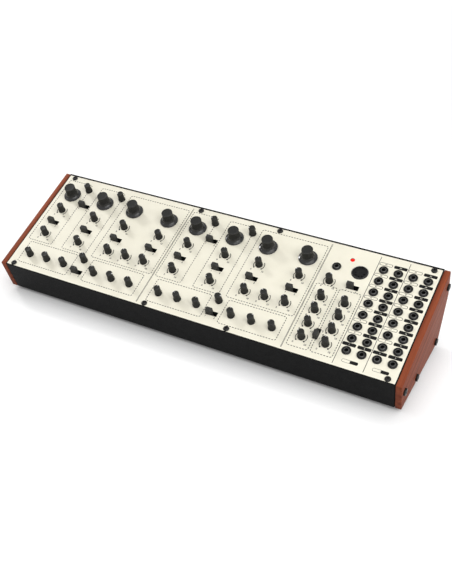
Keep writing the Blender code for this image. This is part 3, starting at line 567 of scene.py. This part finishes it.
def make_panel():
    holes = []
    for at in (*KNOBS.values(), *DIALS.values()):
        holes.append(lambda grow, at=at: circle(at, KNOB_HOLE_R + grow))
    for name in SWITCHES:
        size = (SLOT_W, SLOT_L) if name == UPRIGHT else (SLOT_L, SLOT_W)
        holes.append(lambda grow, at=slot_middle(name), size=size:
                     rounded_box(at, size[0] + 2 * grow, size[1] + 2 * grow, 0.35 + grow, 3))
    for at in (*JACKS, PHONES_AT):
        holes.append(lambda grow, at=at: circle(at, JACK_HOLE_R + grow))
    for at in SCREWS:
        holes.append(lambda grow, at=at: circle(at, SCREW_HOLE_R + grow, 24))
    holes.append(lambda grow: circle(MIDI_AT, MIDI_HOLE_R + grow, 64))
    holes.append(lambda grow: circle(LED_AT, LED_HOLE_R + grow, 32))
    middle = (PANEL_W / 2, PANEL_H / 2)

    def outer(grow):
        return rounded_box(middle, PANEL_W - 0.5 + 2 * grow, PANEL_H + 2 * grow, 0.5, 3)

    # The plate's walls and edge chamfers take the black coat, which inside its holes is painted shade.
    built("front_panel_plate", lambda bm: add_plate(bm, outer, holes, (0, -PANEL_T)), (CREAM, POWDER_AND_PAINTED_SHADE),
          "front_panel", sharp=25)


DASHED_BOXES = (
    (4.0, 36.1, 32.1, 122.0), (45.0, 36.1, 73.1, 122.0), (80.9, 36.1, 149.8, 122.0),
    (9.0, 6.6, 67.8, 33.4), (86.1, 6.4, 144.8, 33.4),
    (155.0, 36.1, 182.8, 122.0), (195.8, 36.1, 223.4, 122.0), (231.1, 36.1, 299.0, 122.0),
    (160.1, 6.6, 218.5, 33.4), (236.1, 6.4, 294.4, 33.4),
    (304.5, 6.6, 324.8, 78.6), (327.1, 6.6, 347.4, 78.6),
)
LINES_Y = (2.0, 126.0)
DOUBLE_LINES_X = (152.5, 301.5)
SINGLE_LINES_X = (349.6, 377.3)
DOUBLE_APART, DOUBLE_W, SINGLE_W = 0.35, 0.36, 0.5
DASH_W, DASH, DASH_PITCH, BOX_ROUND = 0.65, 1.7, 2.8, 2.0
ARC_R, ARC_W, DOT_R = 5.4, 0.7, 0.8
NUMBER, BAR_NUMBER = 2.5, 2.0
SCALE_ENDS, SCALE_DOWN = (("0", -5.6), ("10", 6.0)), 6.9
BAR_UP, BAR_W, BAR_H, BAR_ROUND = 7.0, 12.3, 3.5, 1.0
LEGENDS_X, LEGEND_Y = ((356.3, 370.6), (383.8, 398.0)), 7.9


def add_scale(bm, at):
    """Adds the two arcs beside a knob, with a dot at the lower end of each and the ends of its scale."""
    for side in (-1, 1):
        turns = [math.radians(90 + side * (45 + 90 * i / 12)) for i in range(13)]
        path = [polar(at, ARC_R, turn) for turn in turns]
        add_stroke(bm, path, ARC_W)
        add_pill(bm, path[-1], 2 * DOT_R, 2 * DOT_R, 0.99 * DOT_R)
    for text, aside in SCALE_ENDS:
        add_number(bm, text, NUMBER, (at[0] + aside, at[1] - SCALE_DOWN))


def make_print():
    """Everything printed in dark ink: section lines, dashed boxes, scales, label bars and numbers."""
    bm = bmesh.new()
    for x in DOUBLE_LINES_X:
        for offset in (-DOUBLE_APART, DOUBLE_APART):
            add_stroke(bm, [(x + offset, y) for y in LINES_Y], DOUBLE_W)
    for x in SINGLE_LINES_X:
        add_stroke(bm, [(x, y) for y in LINES_Y], SINGLE_W)
    for left, bottom, right, top in DASHED_BOXES:
        middle = ((left + right) / 2, (bottom + top) / 2)
        outline = rounded_box(middle, right - left, top - bottom, BOX_ROUND, 4)
        add_dashes(bm, outline, DASH_W, DASH, DASH_PITCH)
    for name, at in KNOBS.items():
        if not any(word in name for word in ("envelope_a", "envelope_b", "fine", "glide")):
            add_scale(bm, at)
    for name in SWITCHES:
        x, y = slot_middle(name)
        ends = ((x - 4.6, y - 4.3), (x + 4.6, y - 4.3))
        if name == UPRIGHT:
            ends = ((x + 4.0, y - 4.0), (x + 4.0, y + 4.0))
        for text, at in zip(("1", "2"), ends):
            add_number(bm, text, NUMBER, at)
    for i, (x, y) in enumerate(JACKS):
        at = (x, y + BAR_UP)
        if filled_bar(i):
            add_pill(bm, at, BAR_W, BAR_H, BAR_ROUND)
        else:
            add_stroke(bm, rounded_box(at, BAR_W - 0.4, BAR_H - 0.6, BAR_ROUND, 6), 0.4, closed=True)
            add_number(bm, str(i + 1), BAR_NUMBER, at)
    for left, right in LEGENDS_X:
        middle = (left + right) / 2
        outline = rounded_box((middle, LEGEND_Y), right - left, BAR_H - 0.5, BAR_ROUND, 6)
        add_stroke(bm, outline, 0.3, closed=True)
        add_pill(bm, ((middle + right) / 2, LEGEND_Y), (right - left) / 2, BAR_H - 0.2, BAR_ROUND)
    bmesh.ops.remove_doubles(bm, verts=bm.verts, dist=0.0005)
    piece("panel_print_dark", mesh_of(bm, "panel_print_dark", INK))


def filled_bar(i):
    """The bars of the bottom row and of the second and fourth columns are filled."""
    return i < JACK_COLUMNS or i % 2 == 1


def make_pale_print():
    """Numbers on the filled bars."""
    bm = bmesh.new()
    for i, (x, y) in enumerate(JACKS):
        if filled_bar(i):
            add_number(bm, str(i + 1), BAR_NUMBER, (x, y + BAR_UP), 0.03)
    bmesh.ops.remove_doubles(bm, verts=bm.verts, dist=0.0005)
    piece("panel_print_pale", mesh_of(bm, "panel_print_pale", PALE_INK))


# Screws

def add_button_screw(bm, radius, height, hollow, at):
    """Adds a round-headed screw with a round recess, the underside of its head at z = 0."""
    shank, length = 1.25, 6.0
    profile = soften([
        (hollow * 0.8, height * 0.35, 0, 0), (hollow, height * 0.98, 0, 0), (hollow * 1.15, height, 0, 0),
        (radius * 0.72, height * 0.92, 0.4, 0), (radius, height * 0.42, 0.3, 0), (radius, 0, 0, 0),
        (shank, 0, 0, 0), (shank, -length, 0, 0), (0, -length, 0, 0),
    ], 3)
    revolve(bm, [(0, height * 0.35, 0), *profile], 36, at)


def make_panel_screws():
    def draw(bm):
        for at in SCREWS:
            add_button_screw(bm, 2.85, 1.5, 1.1, at)

    built("panel_screws", draw, (SCREW_BLACK,), "case_shell")


# Case

def under(y):
    """Height of the case's bottom below a point of the panel."""
    return -FRONT_FACE - (y + EDGE) * math.tan(SLOPE)


def case_outline():
    foot = (REAR_FOOT_Y, under(REAR_FOOT_Y))
    return [(-EDGE, 0), (-EDGE, -FRONT_FACE), foot, (REAR_Y, -REAR_UPPER), (REAR_Y, 0)]


def cheek_screw_places():
    rear = REAR_FOOT_Y - 8.0
    return [(5.2, -15.5), (PANEL_H - 5.2, -15.5), (39.0, under(39.0) + 8.5), (rear, under(rear) + 8.5)]


def add_hole_along(bm, axis, middle, radius, length):
    turn = Matrix.Rotation(math.pi / 2, 4, "Y" if axis == "x" else "X")
    bmesh.ops.create_cone(bm, cap_ends=True, segments=40, radius1=radius, radius2=radius, depth=length,
                          matrix=Matrix.Translation(middle) @ turn)


def make_case():
    ends = (-GAP, PANEL_W + GAP)

    def tray(bm):
        add_prism(bm, case_outline(), ends)
        top = max(bm.faces, key=lambda face: face.calc_center_median().z)
        bmesh.ops.delete(bm, geom=[top], context="FACES_ONLY")

    def seat(bm):
        add_box(bm, (ends[0] - SHEET, ends[1] + SHEET), (-GAP, PANEL_H + GAP), (UNDER_PANEL, SHEET))

    def holes(bm):
        for y, z in cheek_screw_places():
            for x in ends:
                add_hole_along(bm, "x", (x, y, z), 1.9, 6 * SHEET)
        for middle, width in ((POWER_X, POWER_W), (DC_X, DC_W), (USB_X, USB_W)):
            add_box(bm, span(middle, width + 0.4), (REAR_Y - 3, REAR_Y + 2), span(SOCKET_Z, SOCKET_H + 0.4))

    case = built("case_tray", tray, (POWDER_AND_PAINTED_SHADE,), "case_shell")
    round_edges(case, 1.2)
    wall = case.modifiers.new("wall", "SOLIDIFY")
    wall.thickness = SHEET * MM
    wall.offset = -1
    wall.use_even_offset = True
    settle(case, [carve(case, seat), carve(case, holes)])

    def rails(bm):
        depth = 6
        inner = (ends[0] + SHEET, ends[1] - SHEET)
        for y in ((-EDGE + SHEET, RAIL_W), (PANEL_H - RAIL_W, REAR_Y - SHEET)):
            add_box(bm, inner, y, (UNDER_PANEL - SHEET, UNDER_PANEL), bevel=0.2)
        for y, sign in ((RAIL_W, -1), (PANEL_H - RAIL_W, 1)):
            height = (UNDER_PANEL - depth, UNDER_PANEL - SHEET)
            add_box(bm, inner, span(y + sign * SHEET / 2, SHEET), height, bevel=0.2)

    built("panel_rails", rails, (POWDER_AND_PAINTED_SHADE,), "case_shell")

    def lips(bm):
        for x in ((-0.55, 0.2), (PANEL_W - 0.2, PANEL_W + 0.55)):
            add_box(bm, x, (-0.6, PANEL_H + 0.1), (UNDER_PANEL - 1, -0.05), bevel=0.1)
        rear = (PANEL_H + 0.1, REAR_Y - 0.1)
        add_box(bm, (-0.55, PANEL_W + 0.55), rear, (UNDER_PANEL - 1, 0.8), bevel=0.25)

    built("case_edge_lips", lips, (POWDER_AND_PAINTED_SHADE,), "case_shell")


def make_cheeks():
    head, shank, end = 3.5, 1.5, -11.8
    profile = soften([
        (shank, 0.9, 0, 0), (1.65, 1.95, 0, 0), (1.85, 2.0, 0, 0), (head, 2.0, 0.3, 0),
        (head, 0.0, 0.1, 0), (shank, 0.0, 0, 0), (shank, end, 0, 0), (0, end, 0, 0),
    ], 3)
    for name, inner, sign in (("left_cheek", -2 * GAP, -1), ("right_cheek", PANEL_W + 2 * GAP, 1)):
        outer = inner + sign * CHEEK_T

        def screws(bm):
            for y, z in cheek_screw_places():
                before = len(bm.verts)
                revolve(bm, [(0, 0.9, 0), *profile], 48, flute=(24, 0.14, 0.25, 1.6))
                turn = Matrix.Translation((outer, y, z)) @ Matrix.Rotation(sign * math.pi / 2, 4, "Y")
                bmesh.ops.transform(bm, matrix=turn, verts=list(bm.verts)[before:])

        made = built(f"{name}_wood", lambda bm: add_prism(bm, case_outline(), (inner, outer)), (WOOD,),
                     name)
        round_edges(made, CHEEK_ROUND)
        settle(made)
        built(f"{name}_screws", screws, (SCREW_BLACK,), name)


def make_feet():
    profile = soften([(0, 0.6, 0, 0), (2.4, 0.6, 0.2, 0), (2.7, 0.0, 0.3, 0), (5.5, 0.0, 0.5, 0),
                      (6.0, 3.9, 0.2, 0), (5.8, 4.0, 0, 0), (0, 4.0, 0, 0)], 4)
    mesh = drawn(lambda bm: revolve(bm, profile, 48), "rubber_foot", RUBBER, turn=LEVEL)
    for end in ("front", "rear"):
        for side in ("left", "right"):
            low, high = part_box(f"foot_{end}_{side}")
            middle = (low + high) / 2 / MM
            piece(f"foot_{end}_{side}_rubber", mesh, [f"foot_{end}_{side}"],
                  at=(middle.x, middle.y, 0), base=LEVEL)


# Sockets

def jack_profile():
    """Patch socket from the bore's floor outward: domed bush, nut and the sleeve under them."""
    hole = 1.9
    return soften([
        (0, -7.2, 0, 2), (hole, -7.2, 0, 2), (hole, 1.0, 0, 1), (hole + 0.1, 1.35, 0.1, 1),
        (2.2, 1.42, 0.12, 1), (2.72, 0.9, 0.15, 1), (2.74, 0.8, 0, 0), (2.82, 0.8, 0, 0),
        (2.95, 1.45, 0.1, 0), (3.4, 1.6, 0.2, 0), (4.1, 1.2, 0.25, 0), (4.3, 0.85, 0.15, 0),
        (4.3, 0.0, 0, 0), (2.9, 0.0, 0, 1), (2.9, -7.6, 0, 2), (0, -7.6, 0, 2),
    ], 3)


def make_jacks():
    profile = jack_profile()

    def sockets(bm):
        for at in JACKS:
            revolve(bm, profile, 48, at)

    built("patch_sockets", sockets, (NUT, BUSH, POWDER_AND_PAINTED_SHADE), "jack_board")

    def bodies(bm):
        for x, y in JACKS:
            add_box(bm, span(x, JACK_BODY[0]), span(y, JACK_BODY[1]), (BOARD_Z, UNDER_PANEL), bevel=0.3)
            for side in (-1, 1):
                add_box(bm, span(x + side * 3.0, 0.8), span(y, 0.4), PIN_Z, 1)

    built("patch_socket_bodies", bodies, (BLACK_BODY, TIN), "jack_board")
    across = (JACKS_X - 5.0, JACKS_X + 3 * JACK_PITCH_X + 5.0)
    make_board("jack_circuit_board", across, (BOARD_EDGE, PANEL_H - BOARD_EDGE), BOARD_Z, "jack_board")


def make_phones():
    def draw(bm):
        revolve(bm, jack_profile(), 48, PHONES_AT)
        sides = [span(middle, size) for middle, size in zip(PHONES_AT, JACK_BODY)]
        add_box(bm, *sides, (BOARD_Z + GAP, UNDER_PANEL), 2, 0.3)

    built("phones_socket_detail", draw, (NUT, BUSH, BLACK_BODY), "phones_socket")


def make_midi():
    """Round socket: a collar bright inside, a dark face with five pin holes and a key, and its body."""
    def collar(bm):
        rim = soften([(6.95, -1.4, 0, 0), (6.95, 0.65, 0.1, 0), (7.12, 0.9, 0.1, 0), (7.3, 0.9, 0.1, 1),
                      (7.6, 0.6, 0.1, 1), (7.6, -3.2, 0, 1), (6.95, -3.2, 0, 0)], 3)
        revolve(bm, rim, 72, MIDI_AT)

    built("midi_socket_collar", collar, (SILVER, NUT), "midi_socket")

    def insert(bm):
        face = soften([(0, -1.0, 0, 0), (5.6, -1.0, 0.2, 0), (5.9, -0.5, 0.1, 0), (6.93, -0.45, 0.1, 0),
                       (6.93, -3.0, 0, 0), (0, -3.0, 0, 0)], 3)
        revolve(bm, face, 72, MIDI_AT)

    def pins(bm):
        pin_r = 0.8
        for i in range(5):
            middle = Matrix.Translation((*polar(MIDI_AT, 4.0, math.radians(180 + 45 * i)), -1.2))
            bmesh.ops.create_cone(bm, cap_ends=True, segments=24, radius1=pin_r, radius2=pin_r, depth=3.0,
                                  matrix=middle)
        add_box(bm, span(MIDI_AT[0], 2.2), span(MIDI_AT[1] + 6.0, 1.6), (-1.6, 0.5))

    def body(bm):
        add_box(bm, span(MIDI_AT[0], 18), span(MIDI_AT[1], 19), (BOARD_Z + GAP, UNDER_PANEL), bevel=0.4)

    made = built("midi_socket_insert", insert, (BLACK_BODY,), "midi_socket")
    settle(made, [carve(made, pins)])
    built("midi_socket_body", body, (BLACK_BODY,), "midi_socket")


def make_led():
    radius, foot = 1.1, BOARD_Z + GAP
    turns = [math.pi / 2 * i / 8 for i in range(9)]
    dome = [(radius * math.sin(a), 0.25 + radius * math.cos(a), 0) for a in turns]
    profile = [*dome, (radius, -0.3, 0), (1.9, -0.4, 0), (1.9, foot, 0), (0, foot, 0)]
    built("status_led_lens", lambda bm: revolve(bm, profile, 40, LED_AT), (RED_LENS,),
          "status_led")


# Boards behind the panel

def make_control_board():
    make_board("control_circuit_board", (3.0, JACKS_X - 6.5), (BOARD_EDGE, PANEL_H - BOARD_EDGE), BOARD_Z,
               "control_board")

    def pots(bm):
        floor, outer = BOARD_Z + 2.0, 4.6
        ring = soften([(KNOB_HOLE_R, floor - 0.2, 0, 1), (KNOB_HOLE_R, POT_TOP, 0, 1),
                       (outer, POT_TOP, 0.3, 1), (outer, floor - 0.2, 0, 1)], 2)
        for x, y in (*KNOBS.values(), *DIALS.values()):
            add_box(bm, span(x, 9.6), span(y, 9.6), (BOARD_Z, floor), 0, 0.3)
            revolve(bm, ring, 40, (x, y))
            for i in (-1, 0, 1):
                add_box(bm, span(x + 2.5 * i, 0.7), span(y - 4.0, 0.4), PIN_Z, 1)

    built("pot_bodies", pots, (BLACK_BODY, TIN), "control_board")

    def switch_bodies(bm):
        for name in SWITCHES:
            x, y = slot_middle(name)
            long, short = SLOT_L + 2, SLOT_W + 2
            size = (short, long) if name == UPRIGHT else (long, short)
            inner = (size[0] - 2, size[1] - 2)
            floor = BOARD_Z + 4.0
            add_box(bm, span(x, size[0]), span(y, size[1]), (BOARD_Z, floor), 0, 0.2)
            walls = ((span(x, size[0]), (y + inner[1] / 2, y + size[1] / 2)),
                     (span(x, size[0]), (y - size[1] / 2, y - inner[1] / 2)),
                     ((x - size[0] / 2, x - inner[0] / 2), span(y, inner[1])),
                     ((x + inner[0] / 2, x + size[0] / 2), span(y, inner[1])))
            for wide, deep in walls:
                add_box(bm, wide, deep, (floor - 0.2, SWITCH_TOP))

    built("slide_switch_bodies", switch_bodies, (BLACK_BODY,), "control_board")

    def standoffs(bm):
        rows = (17.8, 72.05, 114.0)
        places = [(x, y) for x in (152.6, 301.8) for y in rows]
        places += [(x, y) for x in (6.0, 345.7) for y in (40.0, 74.0)]
        post = soften([(0, UNDER_PANEL, 0, 0), (2.2, UNDER_PANEL, 0.2, 0), (2.2, BOARD_Z, 0.2, 0),
                       (0, BOARD_Z, 0, 0)], 2)
        for at in places:
            revolve(bm, post, 6, at)

    built("board_standoffs", standoffs, (TIN,), "control_board")


def make_main_board():
    make_board("main_circuit_board", (10, PANEL_W - 10), (BOARD_EDGE, PANEL_H - 3), MAIN_Z, "main_board")

    def chips(bm):
        pitch, leg_pitch = 36.0, 1.27
        for i in range(8):
            x, y = 40.0 + pitch * i, 62.0
            add_box(bm, span(x, 10.0), span(y, 6.2), (MAIN_Z + 0.3, MAIN_Z + 2.2), 0, 0.2)
            for k in range(8):
                leg = span(x - 4.4 + leg_pitch * k, 0.45)
                for side in (-1, 1):
                    add_box(bm, leg, span(y + side * 3.6, 1.2), (MAIN_Z, MAIN_Z + 0.6), 1)

    built("sound_chips", chips, (BLACK_BODY, TIN), "main_board")

    def headers(bm):
        top, row, pitch, pin_w = BOARD_Z - BOARD_T - GAP, 30.0, 2.54, 0.64
        for x in (40.0, 172.2, 321.2, 376.5):
            add_box(bm, span(x, 24.0), span(row, 5.0), (MAIN_Z, top - 3), 0, 0.2)
            for k in range(9):
                pin = span(x - 4 * pitch + pitch * k, pin_w)
                for side in (-1, 1):
                    add_box(bm, pin, span(row + side * pitch / 2, pin_w), (MAIN_Z, top), 1)

    built("board_headers", headers, (BLACK_BODY, GOLD), "main_board")

    def capacitors(bm):
        side = [(0, 7.4, 0, 1), (2.5, 7.4, 0, 1), (2.7, 7.5, 0, 0), (3.2, 7.4, 0.3, 0), (3.2, 1.6, 0.2, 0),
                (2.95, 1.3, 0.1, 0), (3.2, 1.0, 0.1, 0), (3.2, 0, 0, 0), (0, 0, 0, 0)]
        can = soften([(radius, MAIN_Z + z, fillet, slot) for radius, z, fillet, slot in side], 3)
        for i in range(10):
            revolve(bm, can, 32, (40.0 + 30.0 * i, 88.0))

    built("capacitors", capacitors, (BLACK_BODY, TIN), "main_board")


# Rear sockets and the power switch

def make_rear():
    mouth = REAR_Y + SOCKET_PROUD
    deep = (mouth - SOCKET_L, mouth)
    high = span(SOCKET_Z, SOCKET_H)

    def housing(name, x, width, draw_hole, stands_for, extra=None, material=BLACK_BODY):
        made = built(name, lambda bm: add_box(bm, span(x, width), deep, high, 0, 0.4, 3), (material,),
                     stands_for)
        settle(made, [carve(made, draw_hole)])
        if extra:
            piece(f"{name}_contact", extra, [stands_for])

    well = 2 * (ROCKER_R + 2 * GAP)
    around = (ROCKER_Y - well / 2, mouth + 1)
    housing("power_switch_housing", POWER_X, POWER_W,
            lambda bm: add_box(bm, span(POWER_X, 9.0), around, span(SOCKET_Z, well)), "main_board")

    def pin(bm):
        revolve(bm, [(0, 9.0, 0), (0.7, 9.0, 0), (1.0, 8.6, 0), (1.0, 0, 0), (0, 0, 0)], 24)
        out = Matrix.Translation((DC_X, mouth - 9.6, SOCKET_Z)) @ Matrix.Rotation(-math.pi / 2, 4, "X")
        bmesh.ops.transform(bm, matrix=out, verts=bm.verts)

    housing("supply_inlet_housing", DC_X, DC_W,
            lambda bm: add_hole_along(bm, "y", (DC_X, mouth - 4.0, SOCKET_Z), 3.2, 10.0), "dc_inlet",
            drawn(pin, "supply_inlet_pin", TIN))

    def tongue(bm):
        add_box(bm, span(USB_X, 5.4), (mouth - 9.0, mouth - 1.0), span(SOCKET_Z, 2.6), 0, 0.3)

    housing("usb_socket_shell", USB_X, USB_W,
            lambda bm: add_box(bm, span(USB_X, 8.4), (mouth - 8.5, mouth + 1), span(SOCKET_Z, 7.6)),
            "usb_socket", drawn(tongue, "usb_tongue", POINTER), TIN)


def make_rocker():
    """Power rocker with a hollowed face, lying at its rest, and its two plain marks."""
    rest, opening = math.radians(-10), math.radians(60)
    dip, mark = 0.8, 0.7
    face, half = polar((0, 0), ROCKER_R, opening)
    turns = [opening + math.radians(10 * i) for i in range(25)]
    arc = [polar((0, 0), ROCKER_R, turn) for turn in turns]
    hollow = [(face - dip * (1 - t * t), half * t) for t in (-0.8 + 0.2 * i for i in range(9))]

    def tipped(y, z):
        return (y * math.cos(rest) - z * math.sin(rest), y * math.sin(rest) + z * math.cos(rest))

    def draw(bm):
        add_prism(bm, [tipped(y, z) for y, z in (*arc, *hollow)], (-4.2, 4.2))
        for sign in (-1, 1):
            y, z = tipped(face - dip * (1 - mark * mark) + 0.02, sign * half * mark)
            add_box(bm, span(0, 2.0 if sign > 0 else 0.5), span(y, 0.1), span(z, 0.4 if sign > 0 else 1.2), 1)

    mesh = drawn(draw, "power_rocker_detail", GRIP, POINTER)
    piece("power_rocker_detail", mesh, ["power_rocker"], "power_rocker",
          (POWER_X, ROCKER_Y, SOCKET_Z))


# Controls

def small_knob_mesh(turn):
    """Slim grooved knob with a dished top, a flared foot, its shaft and a pale pointer.

    The knob is turned from twelve, counterclockwise, in radians.
    """
    profile = soften([
        (0, 9.0, 0, 0), (2.4, 9.0, 0.2, 0), (2.65, 9.3, 0.12, 2), (3.12, 9.3, 0.22, 2),
        (3.2, 8.6, 0.3, 0), (3.15, 6.4, 0.8, 0), (3.2, 3.6, 1.2, 0), (3.35, 2.6, 0.6, 0),
        (3.6, 1.9, 0.3, 0), (3.64, 1.5, 0.15, 0), (3.5, 1.15, 0.1, 0), (2.7, 1.0, 0, 0),
        (2.7, SHAFT_END, 0, 0), (0, SHAFT_END, 0, 0),
    ], 3)
    line = [(2.2, 9.04), (2.5, 9.04), (2.66, 9.34), (3.12, 9.34), (3.25, 9.15), (3.26, 8.0)]

    def draw(bm):
        revolve(bm, profile, 72, flute=(12, 0.12, 2.7, 8.2))
        add_pointer(bm, line, 0.8)
        bmesh.ops.rotate(bm, verts=bm.verts, matrix=Matrix.Rotation(turn, 3, "Z"))

    return drawn(draw, "small_knob_detail", GRIP, POINTER, RIM)


def add_pointer(bm, line, width):
    """Adds a marked strip that follows a line of (radius, z) points over a knob, towards twelve."""
    depth = 0.25
    inner = [(radius - depth, z - depth) for radius, z in line]
    outline = [*line, *reversed(inner)]
    extrude(bm, [(-width / 2, radius, z) for radius, z in outline], (width, 0, 0), 1)


def dial_mesh():
    """Large knob: a fluted grip with a dished top on a glossy skirt that widens like a bell."""
    profile = soften([
        (0, 12.2, 0, 0), (4.65, 12.2, 0.25, 0), (4.95, 12.58, 0.15, 2), (5.45, 12.58, 0.3, 2),
        (5.55, 11.8, 0.3, 0), (5.4, 10.4, 0.8, 0), (5.6, 5.0, 0.6, 0), (5.8, 4.65, 0.15, 1),
        (5.75, 4.45, 0.05, 1), (5.95, 4.4, 0.1, 1), (6.25, 2.9, 1.0, 1), (7.4, 1.8, 1.6, 1),
        (8.95, 1.2, 0.4, 1), (9.15, 0.85, 0.2, 1), (9.1, 0.42, 0.1, 1), (8.9, 0.36, 0, 1),
        (2.7, 0.36, 0, 1), (2.7, SHAFT_END, 0, 0), (0, SHAFT_END, 0, 0),
    ], 5)

    def draw(bm):
        revolve(bm, profile, 144, flute=(24, 0.3, 4.7, 10.6))

    return drawn(draw, "large_dial_detail", GRIP, SKIRT, RIM)


def cap_mesh(upright):
    """Slide cap: a rounded block with fine ribs across its top, on its stem."""
    foot, half = 0.35, 3.2
    ribs = soften([(-half, foot, 0, 0), (-half, 6.1, 0.5, 0), (-2.0, 6.4, 0.1, 0), (-1.8, 6.1, 0.05, 0),
                   (-1.2, 6.1, 0.05, 0), (-1.0, 6.4, 0.1, 0), (-0.3, 6.4, 0.1, 0), (0, 6.1, 0.05, 0),
                   (0.3, 6.4, 0.1, 0), (1.0, 6.4, 0.1, 0), (1.2, 6.1, 0.05, 0), (1.8, 6.1, 0.05, 0),
                   (2.0, 6.4, 0.1, 0), (half, 6.1, 0.5, 0), (half, foot, 0, 0)], 4)
    ends = ((2.05, 0.45), (1.98, 0.22), (1.8, 0.06), (1.5, 0.0))
    stations = [*((-y, inset) for y, inset in ends), *reversed(ends)]

    def draw(bm):
        rows = []
        for y, inset in stations:
            points = [(x * (1 - inset / half), y, z if z == foot else z - inset) for x, z, _ in ribs]
            rows.append([bm.verts.new(point) for point in points])
        for a, b in zip(rows, rows[1:]):
            for i in range(len(a)):
                bm.faces.new((a[i - 1], a[i], b[i], b[i - 1]))
        bm.faces.new(rows[0])
        bm.faces.new(list(reversed(rows[-1])))
        add_box(bm, (-2.9, 2.9), (-1.5, 1.5), (CAP_END, 0.8), 0, 0.2)
        if upright:
            bmesh.ops.rotate(bm, verts=bm.verts, matrix=Matrix.Rotation(math.pi / 2, 3, "Z"))

    return drawn(draw, "slide_cap_detail", CAP)


def make_controls():
    knobs = {}
    dial = dial_mesh()
    caps = {False: cap_mesh(False), True: cap_mesh(True)}
    for name, at in CONTROLS.items():
        moves = name in PLACES
        body, stands_for = (name, name) if moves else ("chassis", "control_board")
        if name in KNOBS:
            hour = POINTER_HOURS[name.removesuffix("_knob")]
            if hour not in knobs:
                knobs[hour] = small_knob_mesh(math.radians(30 * (12 - hour)))
            mesh = knobs[hour]
        elif name in DIALS:
            mesh = dial
        else:
            mesh = caps[name == UPRIGHT]
        piece(f"{name}_detail", mesh, [stands_for], body, (*at, 0))


# Floor, lights and camera

def combined(tree, operation, first, second):
    """Result of an operation on two values."""
    made = tree.nodes.new("ShaderNodeMath")
    made.operation = operation
    tree.links.new(first, made.inputs[0])
    tree.links.new(second, made.inputs[1])
    return made.outputs[0]


def shown_rays(tree):
    """One for rays that show a surface or a reflection of it, and zero for light that it gives."""
    path = tree.nodes.new("ShaderNodeLightPath")
    total = path.outputs["Is Camera Ray"]
    for name in ("Is Glossy Ray", "Is Transmission Ray"):
        total = combined(tree, "MAXIMUM", total, path.outputs[name])
    return total


def make_floor():
    size = 6.0
    corners = [(-size, -size, 0), (size, -size, 0), (size, size, 0), (-size, size, 0)]
    mesh = bpy.data.meshes.new("floor")
    mesh.from_pydata(corners, [], [(0, 1, 2, 3)])
    white = bpy.data.materials.new("white_floor")
    white.use_nodes = True
    tree = white.node_tree
    tree.nodes.clear()
    diffuse = tree.nodes.new("ShaderNodeBsdfDiffuse")
    diffuse.inputs["Color"].default_value = (0.55, 0.55, 0.55, 1)
    glow = tree.nodes.new("ShaderNodeEmission")
    # The glow fades near the object: a painted contact shadow on the floor.
    painted_shadow_ao = tree.nodes.new("ShaderNodeAmbientOcclusion")
    painted_shadow_ao.inputs["Distance"].default_value = 0.03
    where = tree.nodes.new("ShaderNodeTexCoord")
    away = tree.nodes.new("ShaderNodeVectorMath")
    away.operation = "LENGTH"
    tree.links.new(where.outputs["Object"], away.inputs[0])
    lift = shown_rays(tree)
    painted_contact_shadow = ramp(tree, painted_shadow_ao.outputs["AO"], 0.0, 0.58, 0.0, 1.0)
    distance = ramp(tree, away.outputs["Value"], 1, 1.55, 0.7, 2.5)
    for part in (painted_contact_shadow, distance):
        lift = combined(tree, "MULTIPLY", lift, part)
    tree.links.new(lift, glow.inputs["Strength"])
    both = tree.nodes.new("ShaderNodeAddShader")
    out = tree.nodes.new("ShaderNodeOutputMaterial")
    tree.links.new(diffuse.outputs[0], both.inputs[0])
    tree.links.new(glow.outputs[0], both.inputs[1])
    tree.links.new(both.outputs[0], out.inputs["Surface"])
    mesh.materials.append(white)
    floor = linked("floor", mesh)


def make_world():
    fill = 0.38
    world = bpy.data.worlds.new("studio")
    world.use_nodes = True
    tree = world.node_tree
    back = tree.nodes["Background"]
    back.inputs["Color"].default_value = (1, 1, 1, 1)
    tree.links.new(ramp(tree, shown_rays(tree), fill, 1.0, 0, 1), back.inputs["Strength"])
    SCENE.world = world


def area_light(name, at, aim, size, power):
    lamp = bpy.data.lights.new(name, "AREA")
    lamp.shape = "DISK"
    lamp.size = size
    lamp.energy = power
    made = linked(name, lamp)
    made.location = at
    made.rotation_euler = (Vector(aim) - Vector(at)).to_track_quat("-Z", "Y").to_euler()


def make_lights():
    area_light("key_from_rear_left", (-1.6, 0.4, 1.35), (0, 0, 0.06), 0.4, 12.2)
    area_light("small_left", (-1.2, -0.47, 0.84), (0, 0, 0.06), 0.12, 1.4)
    area_light("fill_from_right", (1.0, -0.35, 0.75), (0.1, 0, 0.06), 1.0, 4.5)
    area_light("front_softbox", (0.45, -0.6, 1.0), (0, 0, 0.06), 1.3, 8.4)


def make_camera():
    camera = bpy.data.cameras.new("camera")
    camera.sensor_fit = "HORIZONTAL"
    camera.sensor_width = 36.0
    camera.lens = 69.32
    camera.shift_x = 0.0815
    camera.shift_y = 0.0876
    camera.clip_start = 0.01
    made = linked("camera", camera)
    heading = Matrix.Rotation(math.radians(28.506), 4, "Z")
    look = Matrix.Rotation(math.radians(90 - 35.628), 4, "X")
    roll = Matrix.Rotation(math.radians(0.166), 4, "Z")
    made.matrix_world = Matrix.Translation((0.32132, -0.64347, 0.49621)) @ heading @ look @ roll
    SCENE.camera = made


make_panel()
make_print()
make_pale_print()
make_panel_screws()
make_case()
make_cheeks()
make_feet()
make_jacks()
make_phones()
make_midi()
make_led()
make_control_board()
make_main_board()
make_rear()
make_rocker()
make_controls()
make_floor()
make_world()
make_lights()
make_camera()
SCENE.view_settings.view_transform = "Standard"
